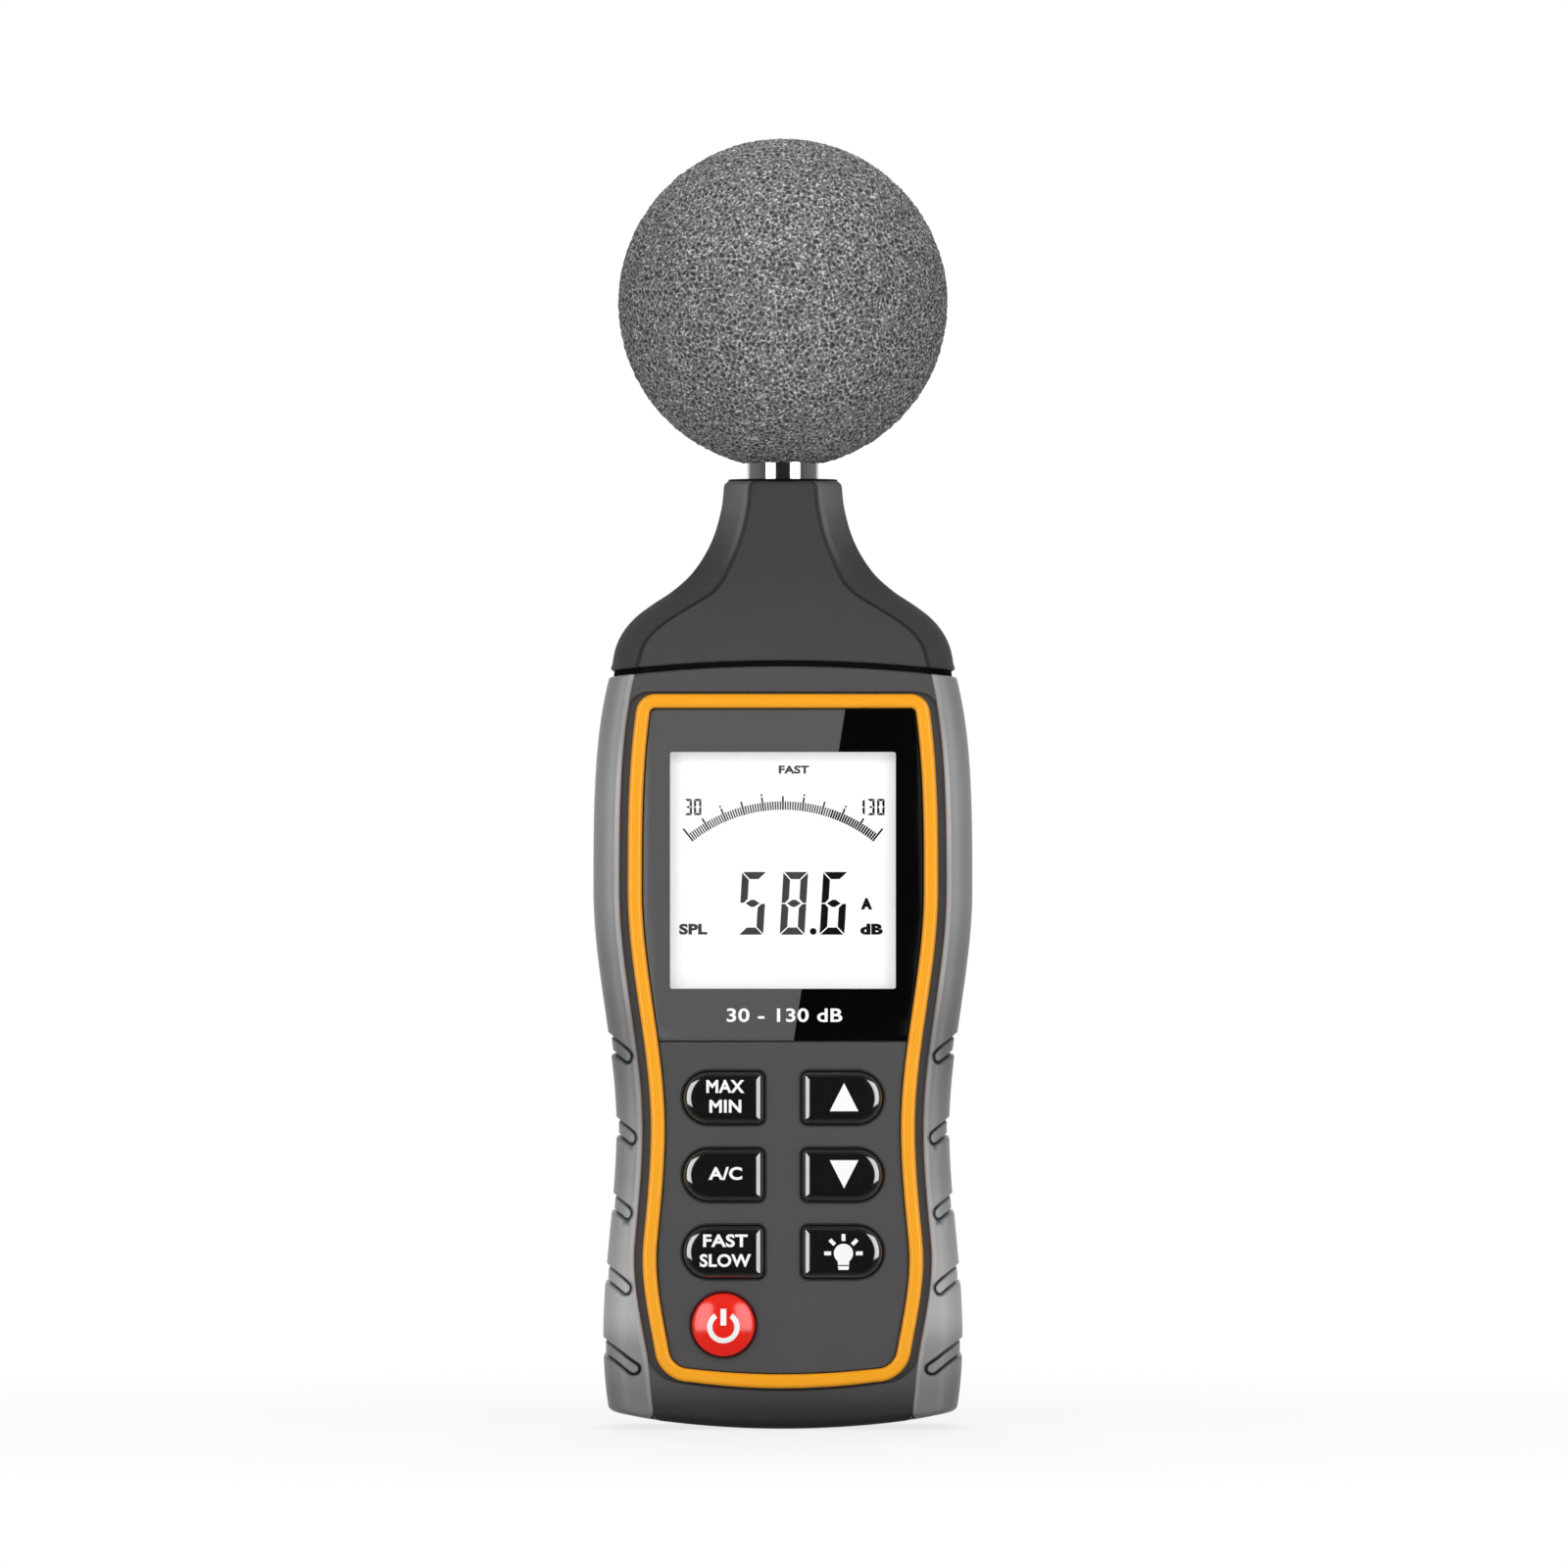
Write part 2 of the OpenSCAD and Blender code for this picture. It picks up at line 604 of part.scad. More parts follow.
// Two plates that grip the barrel's flange, and the posts for the head's screws.
module head_half_shell() {
  head_d = head_half_t(head_screw[1] + screw_boss_r) - wall;
  difference() {
    union() {
      head_tray();
      for (z = [clamp_z, barrel_z0 + flange_h + fit])
        block(-barrel_r - 2, barrel_r + 2, -head_half_t(z + clamp_t) + wall - 0.5, 0, z, z + clamp_t);
      for (s = [-1, 1]) rod(s * head_screw[0], head_screw[1], screw_boss_r, -head_d - 0.6, 0);
      for (s = [-1, 1], z = mic_post_heights)
        rod(s * mic_post_x, z, 1.2, wall - 0.6 - head_half_t(z), -mic_board_t / 2);
      block(-tongue_w / 2, tongue_w / 2, inner_front_y + 0.1, inner_front_y + 0.1 + tongue_t,
        case_top - tongue_l, head_foot + 4);
      block(-tongue_w / 2, tongue_w / 2, inner_front_y - 0.5, inner_front_y + 0.1 + tongue_t,
        head_foot + 1, head_foot + 4);
    }
    translate([0, 0, clamp_z - 1]) cylinder(r = barrel_r - barrel_wall - 0.6, h = 2 + clamp_t);
    translate([0, 0, barrel_z0]) cylinder(r = barrel_r + fit, h = head_h);
    translate([0, 0, collar_z - wall - 1]) cylinder(r = bush_r, h = wall + 2);
  }
}

module head_front() {
  color([0.28, 0.28, 0.28]) difference() {
    head_half_shell();
    for (s = [-1, 1])
      rod(s * head_screw[0], head_screw[1], screw_r, screw_seat_y - head_screw_l - 0.5, 1);
  }
}

module head_rear() {
  color([0.26, 0.26, 0.26]) difference() {
    mirror([0, 1, 0]) head_half_shell();
    for (s = [-1, 1]) {
      rod(s * head_screw[0], head_screw[1], screw_r + fit, -1, back_y);
      rod(s * head_screw[0], head_screw[1], well_r, screw_seat_y, back_y + 1);
    }
  }
}

// A flat rubber ring in the seam, set back from the surface, so that the seam shows as a dark line.
seal_set_back = 0.9;
module seam_seal() {
  w = case_half(case_top) - seal_set_back;
  d = case_t / 2 - seal_set_back;
  outer_half = concat([[w, 0]], corner(w, d, edge_w, edge_d, 0.6, corner_steps), [[w - edge_w - 1, -d]]);
  low = [for (half = [outer_half, case_inner(case_top)]) seal_loop(half)];
  high = [for (loop = low) [for (p = loop) [p[0], p[1], p[2] + seam_gap]]];
  n = len(low[0]);
  function at(k, i) = k * n + i % n;
  sides = [[0, 2], [3, 1], [2, 3], [1, 0]];
  color([0.05, 0.05, 0.05]) polyhedron(
    concat(low[0], low[1], high[0], high[1]),
    [for (s = sides, i = [0:n - 1]) [at(s[0], i), at(s[1], i), at(s[1], i + 1), at(s[0], i + 1)]],
    convexity = 6
  );
}
function seal_loop(half) =
  let (front = bowed(both(half), case_top))
  concat(front, [for (i = [len(front) - 2:-1:1]) [front[i][0], -front[i][1], front[i][2]]]);

// ---- Grips --------------------------------------------------------------

// Height of each groove's inner end, and its distance from the side.
grooves = [[10.5, 5.4], [25.6, 3.7], [39.2, 2.6], [52.9, 2.5], [67.7, 2.7]];
grip_r = 1.3;

// Front half of a grip's outer and inner profile, from the side to the strip's inner edge.
function grip_outer(h, inset) =
  let (w = case_half(h) - inset, d = case_t / 2 + grip_rise - inset)
  concat(corner(w, d, edge_w, edge_d, 1, corner_steps), [[grip_edge(h) + inset / 2, -d]]);
function grip_inner(h) =
  let (w = case_half(h) - grip_t, d = case_t / 2 - grip_t, low = grip_edge(h) + step_draft)
  concat(corner(w, d, w - low, edge_d - grip_t, 1, corner_steps), [[low - eps, -d - eps]]);
function front_to_back(half) = concat(
  [for (i = [len(half) - 1:-1:0]) half[i]],
  [for (p = half) [p[0], -p[1]]]
);

// Cuts a groove's whole width, down to a core set back from the grip's surface.
groove_reach = 14;
module groove(site) {
  h = site[0];
  rim = grip_outer(h + groove_w / 2, groove_d);
  core = concat(rim, [rim[len(rim) - 1] - [groove_d + 1, 0]]);
  difference() {
    plate(-case_t, case_t) translate([case_half(h) - site[1], h]) rotate(groove_angle) {
      circle(groove_w / 2);
      translate([0, -groove_w / 2]) square([groove_reach, groove_w]);
    }
    translate([0, 0, h - 2 * groove_w]) linear_extrude(2 * groove_w + groove_reach)
      polygon(front_to_back(core));
  }
}

module grip() {
  rows = levels(0.3, case_top, grip_r, case_rows);
  outer = [
    for (i = [0:len(rows) - 1]) bowed(front_to_back(grip_outer(rows[i], rounding(i, grip_r))), rows[i])
  ];
  inner = [for (h = rows) bowed(front_to_back(grip_inner(h)), h)];
  difference() {
    strip(outer, inner);
    for (site = grooves) groove(site);
  }
}

module grip_right() {
  color([0.55, 0.55, 0.56]) grip();
}

module grip_left() {
  color([0.55, 0.55, 0.56]) mirror([1, 0, 0]) grip();
}

// ---- Front --------------------------------------------------------------

module trim_ring() {
  bead = 0.35;
  color([0.98, 0.69, 0.1]) union() {
    plate(front_y - trim_rise + bead, front_y + trim_seat) difference() {
      polygon(trim_points(0));
      polygon(trim_points(trim_w));
    }
    plate(front_y - trim_rise, front_y - trim_rise + bead + eps) difference() {
      polygon(trim_points(bead));
      polygon(trim_points(trim_w - bead));
    }
  }
}

module display_lens() {
  color([0.1, 0.1, 0.1, 0.8]) plate(front_y, front_y + lens_t) lens_outline(fit);
}

module lcd_frame() {
  back = board_y - 0.05;
  color([0.85, 0.85, 0.83]) difference() {
    block(-lcd_frame_w / 2, lcd_frame_w / 2, inner_front_y + fit, back,
      window_z - lcd_frame_h / 2, window_z + lcd_frame_h / 2);
    block(-lcd_w / 2, lcd_w / 2, front_y, board_y + 1, window_z - lcd_h / 2, window_z + lcd_h / 2);
  }
}

module lcd_glass() {
  color([0.93, 0.94, 0.93]) block(-lcd_w / 2 + fit, lcd_w / 2 - fit, inner_front_y + fit,
    inner_front_y + fit + lcd_t, window_z - lcd_h / 2 + strip_h, window_z + lcd_h / 2 - fit);
}

// The conductive strip that joins the glass to the board.
strip_h = 2;
module lcd_connector() {
  color([0.3, 0.3, 0.32]) block(-lcd_w / 2 + 1, lcd_w / 2 - 1, inner_front_y + 0.6, board_y,
    window_z - lcd_h / 2 + fit, window_z - lcd_h / 2 + strip_h - fit);
}

module backlight() {
  y0 = inner_front_y + fit + lcd_t;
  color([0.9, 0.92, 0.95]) block(-lcd_w / 2 + fit, lcd_w / 2 - fit, y0, y0 + light_t,
    window_z - lcd_h / 2 + strip_h, window_z + lcd_h / 2 - fit);
}

// Rubber sheet on the board with a dome behind each key.
module keypad_mat() {
  dome_r = 4;
  sheet_y = board_y - 1.2;
  color([0.75, 0.75, 0.72]) difference() {
    union() {
      block(-boss_x + boss_r + 0.3, boss_x - boss_r - 0.3, sheet_y, board_y,
        power_z - 8, key_top_z + 7);
      for (at = concat([for (site = key_sites) site[1]], [power_place]))
        rod(at[0], at[1], dome_r, mat_top_y, sheet_y + eps);
    }
    for (at = concat([for (site = key_sites) site[1]], [power_place]))
      rod(at[0], at[1], dome_r - 1, mat_top_y + 1, board_y + 1);
  }
}

// ---- Keys ---------------------------------------------------------------

module key(side, row) {
  bevel = 0.4;
  place = key_place(side, row);
  color([0.06, 0.06, 0.06]) union() {
    plate(key_top_y + bevel, inner_front_y + fit + eps) translate(place) key_outline(side, 0);
    plate(key_top_y, key_top_y + bevel + eps) translate(place) key_outline(side, -bevel);
    plate(inner_front_y + fit, flange_back_y) translate(place) key_outline(side, 0.8);
  }
}

module key_max_min() { key(-1, 0); }
module key_weighting() { key(-1, 1); }
module key_response() { key(-1, 2); }
module key_up() { key(1, 0); }
module key_down() { key(1, 1); }
module key_light() { key(1, 2); }

module power_button() {
  dome_h = 1.1;
  r = power_d / 2;
  dome_r = (r * r + dome_h * dome_h) / (2 * dome_h);
  color([0.85, 0.1, 0.07]) union() {
    intersection() {
      rod(power_place[0], power_place[1], r, key_top_y - dome_h, flange_back_y);
      translate([power_place[0], key_top_y + dome_r - dome_h, power_place[1]]) sphere(dome_r);
    }
    rod(power_place[0], power_place[1], r + 0.8, inner_front_y + fit, flange_back_y);
  }
}

// ---- Electronics --------------------------------------------------------

module main_board() {
  color([0.1, 0.4, 0.2]) difference() {
    block(-board_w / 2, board_w / 2, board_y, board_back_y, board_z0, board_z1);
    board_posts(board_screw_r + 0.1, board_y - 1, board_back_y + 1);
    case_posts(screw_boss_r + 0.3, board_y - 1, board_back_y + 1);
  }
}

// Middle of each chip, from the middle of the display, and its width and height.
chips = [[[0, 0.5], [12, 12]], [[-13.2, -1], [5.5, 5]], [[12.5, -14.5], [5, 6]], [[0, 17], [8, 5]]];
chip_t = 1.5;
module board_chips() {
  color([0.12, 0.12, 0.13])
    for (chip = chips)
      translate([chip[0][0], board_back_y + chip_t / 2, window_z + chip[0][1]])
        cube([chip[1][0], chip_t, chip[1][1]], center = true);
}

capacitor_r = 2.5;
capacitor_l = 5.4;
capacitors = [[14, -1.5], [14, 8.5], [-14, 10.5]];
module board_capacitors() {
  color([0.7, 0.7, 0.72])
    for (at = capacitors)
      rod(at[0], window_z + at[1], capacitor_r, board_back_y, board_back_y + capacitor_l);
}

module board_screws() {
  color("silver") union() {
    board_posts(board_screw_r, board_back_y - board_screw_l, board_back_y + eps);
    difference() {
      board_posts(1.9, board_back_y, board_back_y + 1.3);
      board_posts(0.6, board_back_y + 0.6, board_back_y + 2);
    }
  }
}

// Flat cable from the main board up to the microphone's board.
cable_w = 7;
cable_t = 0.4;
module ribbon_cable() {
  plug_z = case_h - 9;
  y0 = board_back_y + 1.4;
  end_y = -mic_board_t / 2 - cable_t;
  side = [[y0, plug_z], [y0, plug_z + 3], [end_y, mic_board_z0 - 2], [end_y, mic_board_z0 + 2]];
  color([0.85, 0.85, 0.85]) union() {
    block(-cable_w / 2 - 1, cable_w / 2 + 1, board_back_y, y0 + cable_t + 0.6, plug_z - 1, plug_z + 1.6);
    rotate([90, 0, 90]) translate([0, 0, -cable_w / 2]) linear_extrude(cable_w)
      polygon(concat(side, [for (i = [3:-1:0]) [side[i][0] + cable_t, side[i][1] + (i == 1 ? -0.1 : 0)]]));
  }
}

module mic_board() {
  y = mic_board_t / 2;
  color([0.1, 0.4, 0.2]) union() {
    block(-mic_board_w / 2, mic_board_w / 2, -y, y, mic_board_z0, mic_board_z1);
    block(-2, 2, y - eps, y + 1.5, mic_board_z0 + 4, mic_board_z0 + 9);
  }
}

// ---- Batteries ----------------------------------------------------------

tip_h = 0.9;
tip_r = 1.9;
cell_sites = [for (i = [-1:1]) [i * cell_step, i == 0 ? -1 : 1]];
function cell_low(turn) = turn > 0 ? bay_z + spring_room : bay_z + plate_t + tip_room;

// A cell stands on its flat end, or hangs tip down where turn is -1.
module battery(site) {
  z = cell_low(site[1]);
  translate([site[0], cell_y, z + (site[1] > 0 ? 0 : cell_l)]) mirror([0, 0, site[1] > 0 ? 0 : 1]) {
    cylinder(r = cell_d / 2, h = cell_l - tip_h);
    translate([0, 0, cell_l - tip_h - eps]) cylinder(r = tip_r, h = tip_h + eps);
  }
}

module battery_left() { color([0.2, 0.22, 0.25]) battery(cell_sites[0]); }
module battery_middle() { color([0.2, 0.22, 0.25]) battery(cell_sites[1]); }
module battery_right() { color([0.2, 0.22, 0.25]) battery(cell_sites[2]); }

// A conical wire spring along z.
module coil(r0, r1, h, wire_r, turns) {
  steps = 14 * turns;
  sides = 6;
  points = [
    for (i = [0:steps], k = [0:sides - 1])
      let (t = i / steps, a = 360 * turns * t, b = 360 * k / sides, r = mix(r0, r1, t) + wire_r * cos(b))
        [r * cos(a), r * sin(a), wire_r + (h - 2 * wire_r) * t + wire_r * sin(b)]
  ];
  function at(i, k) = i * sides + k % sides;
  polyhedron(points, concat(
    [[for (k = [sides - 1:-1:0]) k]],
    [[for (k = [0:sides - 1]) at(steps, k)]],
    [for (i = [0:steps - 1], k = [0:sides - 1]) [at(i, k), at(i, k + 1), at(i + 1, k + 1)]],
    [for (i = [0:steps - 1], k = [0:sides - 1]) [at(i, k), at(i + 1, k + 1), at(i + 1, k)]]
  ), convexity = 6);
}

module contact_plate() {
  block(-contact_half, contact_half, -contact_half, contact_half, 0, plate_t);
}

module contact_springs() {
  wire_r = 0.35;
  color([0.8, 0.78, 0.7])
    for (site = cell_sites) {
      up = site[1] > 0;
      translate([site[0], cell_y, up ? bay_z : bay_z1]) mirror([0, 0, up ? 0 : 1]) {
        contact_plate();
        translate([0, 0, plate_t - 0.1]) coil(3.6, 2, spring_room - plate_t + 0.05, wire_r, 3);
      }
    }
}

module contact_plates() {
  color([0.8, 0.78, 0.7])
    for (site = cell_sites) {
      up = site[1] < 0;
      translate([site[0], cell_y, up ? bay_z : bay_z1]) mirror([0, 0, up ? 0 : 1]) {
        contact_plate();
        cylinder(r = 2.4, h = plate_t + tip_room);
      }
    }
}

// Two leads, from the first and the last contact forward to the main board.
module battery_leads() {
  color([0.7, 0.1, 0.08])
    for (at = lead_sites) rod(at[0], at[1], lead_r, board_back_y, cell_y - contact_half);
}

module battery_door() {
  rim = 1.4;
  rib_w = 16;
  rib_pitch = 1.8;
  rib_z = door_z0 + 6;
  gap = door_gap;
  color([0.25, 0.25, 0.26]) difference() {
    union() {
      plate(door_inner_y, back_y)
        round_rect(-door_w / 2 + gap, door_w / 2 - gap, door_z0 + gap, door_z1 - gap, door_r - gap);
      for (z = [bay_z + gap, bay_z1 - gap - rim])
        block(-bay_half + gap, bay_half - gap, door_inner_y - 1, door_inner_y + eps, z, z + rim);
      rod(0, door_screw_z, cup_r, door_inner_y - cup_d, back_y - eps);
    }
    rod(0, door_screw_z, screw_head_r + 0.2, door_head_y - screw_head_t, back_y + 1);
    rod(0, door_screw_z, screw_r + fit, 0, back_y);
    for (i = [0:6]) block(-rib_w / 2, rib_w / 2, back_y - 0.5, back_y + 1, rib_z + rib_pitch * i,
      rib_z + rib_pitch * (i + 0.5));
  }
}

// ---- Fasteners ----------------------------------------------------------

// A screw along y with its head towards the back, on its seat at y.
module screw(x, z, y, r, head_r, head_t, l) {
  difference() {
    union() {
      rod(x, z, r, y - l, y + eps);
      rod(x, z, head_r, y, y + head_t);
    }
    for (turn = [0, 90]) translate([x, y + head_t, z]) rotate([0, turn, 0])
      cube([head_r * 1.2, head_t, 0.5], center = true);
  }
}

module case_screws() {
  color("silver") for (s = [-1, 1], at = [chest_screw, foot_screw])
    screw(s * at[0], at[1], screw_seat_y, screw_r, screw_head_r, screw_head_t, screw_l);
}

module head_screws() {
  color("silver") for (s = [-1, 1])
    screw(s * head_screw[0], head_screw[1], screw_seat_y, screw_r, screw_head_r, screw_head_t,
      head_screw_l);
}

module door_screw() {
  color("silver") screw(0, door_screw_z, door_head_y - screw_head_t, screw_r, screw_head_r,
    screw_head_t, door_screw_l);
}

module tripod_insert() {
  color([0.8, 0.65, 0.3]) difference() {
    rod(0, socket_z, insert_r, back_y - insert_l, back_y);
    rod(0, socket_z, socket_r, back_y - insert_l - 1, back_y + 1);
  }
}

// ---- Microphone ---------------------------------------------------------

module mic_bush() {
  color([0.04, 0.04, 0.04]) difference() {
    union() {
      translate([0, 0, collar_z - wall]) cylinder(r = bush_r, h = wall + bush_rise);
      translate([0, 0, collar_z]) cylinder(r = bush_flange_r, h = bush_rise);
    }
    translate([0, 0, collar_z - wall - 1]) cylinder(r = barrel_r, h = wall + 3);
  }
}

module mic_barrel() {
  color([0.8, 0.8, 0.82]) difference() {
    union() {
      translate([0, 0, barrel_z0]) cylinder(r = barrel_r, h = barrel_z1 - barrel_z0);
      translate([0, 0, barrel_z0]) cylinder(r = flange_r, h = flange_h);
    }
    translate([0, 0, barrel_z0 - 1]) cylinder(r = barrel_r - barrel_wall, h = barrel_z1 - barrel_z0 + 2);
  }
}

capsule_r = barrel_r - barrel_wall;
module mic_insulator() {
  color([0.9, 0.9, 0.85]) difference() {
    translate([0, 0, barrel_z1 - 4]) cylinder(r = capsule_r, h = 4);
    translate([0, 0, barrel_z1 - 5]) cylinder(r = 1, h = 6);
  }
}

module mic_capsule() {
  color([0.75, 0.72, 0.6]) union() {
    translate([0, 0, barrel_z1]) cylinder(r = capsule_r, h = cap_h - 1.8);
    translate([0, 0, barrel_z1 - 7]) cylinder(r = 1, h = 7 + eps);
  }
}

// Slotted cap over the capsule: a ring of slots around its top and a star of slots in it.
module mic_cap() {
  cap_wall = 0.7;
  color([0.78, 0.78, 0.8]) difference() {
    translate([0, 0, barrel_z1]) cylinder(r = barrel_r, h = cap_h);
    translate([0, 0, barrel_z1 - 1]) cylinder(r = capsule_r, h = cap_h + 1 - cap_wall);
    for (i = [0:7]) rotate(45 * i) translate([2, -0.4, tip_z - cap_wall - 1]) cube([3, 0.8, 3]);
    for (i = [0:11]) rotate(30 * i) translate([capsule_r - 1, -0.35, tip_z - 2.4]) cube([4, 0.7, 1.4]);
  }
}

module windscreen() {
  low_z = ball_z - ball_r - 1;
  bore_z = tip_z + 1.4;
  color([0.42, 0.42, 0.42]) difference() {
    translate([0, 0, ball_z]) sphere(ball_r);
    translate([0, 0, low_z]) cylinder(r = barrel_r + ball_play, h = bore_z - low_z);
  }
}

// Moves a part from heights above the foot to the frame of the tripod socket.
module placed() {
  translate([0, -back_y, -socket_z]) children();
}

placed() front_case();
placed() rear_case();
placed() head_front();
placed() head_rear();
placed() grip_left();
placed() grip_right();
placed() trim_ring();
placed() display_lens();
placed() seam_seal();
placed() lcd_frame();
placed() lcd_glass();
placed() lcd_connector();
placed() backlight();
placed() keypad_mat();
placed() key_max_min();
placed() key_weighting();
placed() key_response();
placed() key_up();
placed() key_down();
placed() key_light();
placed() power_button();
placed() main_board();
placed() board_chips();
placed() board_capacitors();
placed() board_screws();
placed() ribbon_cable();
placed() battery_left();
placed() battery_middle();
placed() battery_right();
placed() contact_springs();
placed() contact_plates();
placed() battery_leads();
placed() battery_door();
placed() door_screw();
placed() tripod_insert();
placed() case_screws();
placed() head_screws();
placed() mic_bush();
placed() mic_barrel();
placed() mic_insulator();
placed() mic_capsule();
placed() mic_cap();
placed() mic_board();
placed() windscreen();
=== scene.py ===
"""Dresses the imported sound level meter: shells, grips, display, keys, microphone and foam ball."""

import math
from contextlib import contextmanager

import bmesh
import bpy
import numpy as np
from bpy.props import FloatProperty, FloatVectorProperty, PointerProperty
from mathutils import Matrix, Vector, noise
from mathutils.kdtree import KDTree


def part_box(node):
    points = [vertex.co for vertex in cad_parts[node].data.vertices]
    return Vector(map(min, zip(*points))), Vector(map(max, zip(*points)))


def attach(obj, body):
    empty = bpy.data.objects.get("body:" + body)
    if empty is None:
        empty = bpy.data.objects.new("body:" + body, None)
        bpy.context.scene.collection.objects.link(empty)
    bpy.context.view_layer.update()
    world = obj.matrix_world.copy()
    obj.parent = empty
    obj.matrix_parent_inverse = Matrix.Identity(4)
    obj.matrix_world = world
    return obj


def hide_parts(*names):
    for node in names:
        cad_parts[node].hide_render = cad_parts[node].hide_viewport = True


bl_info = {
    "name": "Sound Level Meter",
    "version": (1, 0, 0),
    "blender": (4, 5, 0),
    "location": "View3D > Sidebar > Meter",
    "description": "Builds the visible pieces of a handheld sound level meter around its packed frame",
    "category": "Object",
}

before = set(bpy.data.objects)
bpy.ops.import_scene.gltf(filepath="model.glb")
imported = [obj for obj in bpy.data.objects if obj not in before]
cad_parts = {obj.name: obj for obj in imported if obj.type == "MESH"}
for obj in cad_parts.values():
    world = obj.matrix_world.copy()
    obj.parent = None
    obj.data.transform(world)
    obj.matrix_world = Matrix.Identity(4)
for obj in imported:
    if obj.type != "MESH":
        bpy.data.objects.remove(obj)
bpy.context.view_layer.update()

MM = 0.001
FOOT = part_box("front_case")[0].z
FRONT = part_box("front_case")[0].y
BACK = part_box("rear_case")[1].y
MIDDLE = (FRONT + BACK) / 2
DEPTH = BACK - FRONT
CASE_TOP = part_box("front_case")[1].z - FOOT
SEAM_GAP = 1.05 * MM
HEAD_FOOT = CASE_TOP + SEAM_GAP
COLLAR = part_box("head_front")[1].z - FOOT

# Sizes that more than one piece keeps to.
WINDOW_R = 0.4 * MM  # corner radius of the display window
FLANGE_W = 0.78 * MM  # how far a key's flange reaches out behind the case
BUSH_R = 8.1 * MM  # radius of the microphone's bush in the collar
WELL_R = 2.6 * MM  # radius of a screw well
WELL_FLOOR = 8 * MM  # how far behind the middle a screw well ends
PILOT_R = 1.35 * MM  # radius of the hole for the door screw's shank
DOOR_T = 2 * MM  # thickness of the battery door
DOOR_R = 2.7 * MM  # its corner radius
DOOR_GAP = 0.3 * MM  # gap around it
BACK_CHAMFER = 0.3 * MM  # chamfer on the edges and holes at the back
STEP_DRAFT = 0.3 * MM  # how far the step under a grip's inner edge leans
TINY_R = 0.02 * MM  # the least radius, so that a ring of points stays a ring

SMOOTH = 35  # degrees below which an edge is shaded smooth
ROUND_STEPS = 8  # steps along a rounding
FLAT_STEPS = 24  # points across a shell's flat front
BEVEL_STEPS = 10  # steps across the head's bevel
TURN = np.arange(ROUND_STEPS) / ROUND_STEPS * math.pi / 2  # angles of those steps, without the last


# ---- Settings --------------------------------------------------------------


def number(name, default, description, **kind):
    """A number, shown in the panel."""
    return FloatProperty(name=name, default=default, description=description, **kind)


def length(name, default, description):
    """A size in metres, shown in the panel."""
    return number(name, default, description, unit="LENGTH", subtype="DISTANCE", precision=4)


def tint(name, default, description):
    """A linear colour, shown in the panel."""
    return FloatVectorProperty(
        name=name, default=default, description=description, subtype="COLOR", size=3, min=0, max=1
    )


def clamp(v, low=0.0, high=1.0):
    """A value kept between low and high."""
    return np.minimum(high, np.maximum(low, v))


def mix(a, b, t):
    """A value on its way from a to b, at a share t of it."""
    return a + (b - a) * t


def ease(t):
    """A share from 0 to 1 that starts and ends slowly."""
    t = clamp(t)
    return t * t * (3 - 2 * t)


def share(v, low, high):
    """How far a value is on its way from low to high."""
    return (v - low) / (high - low)


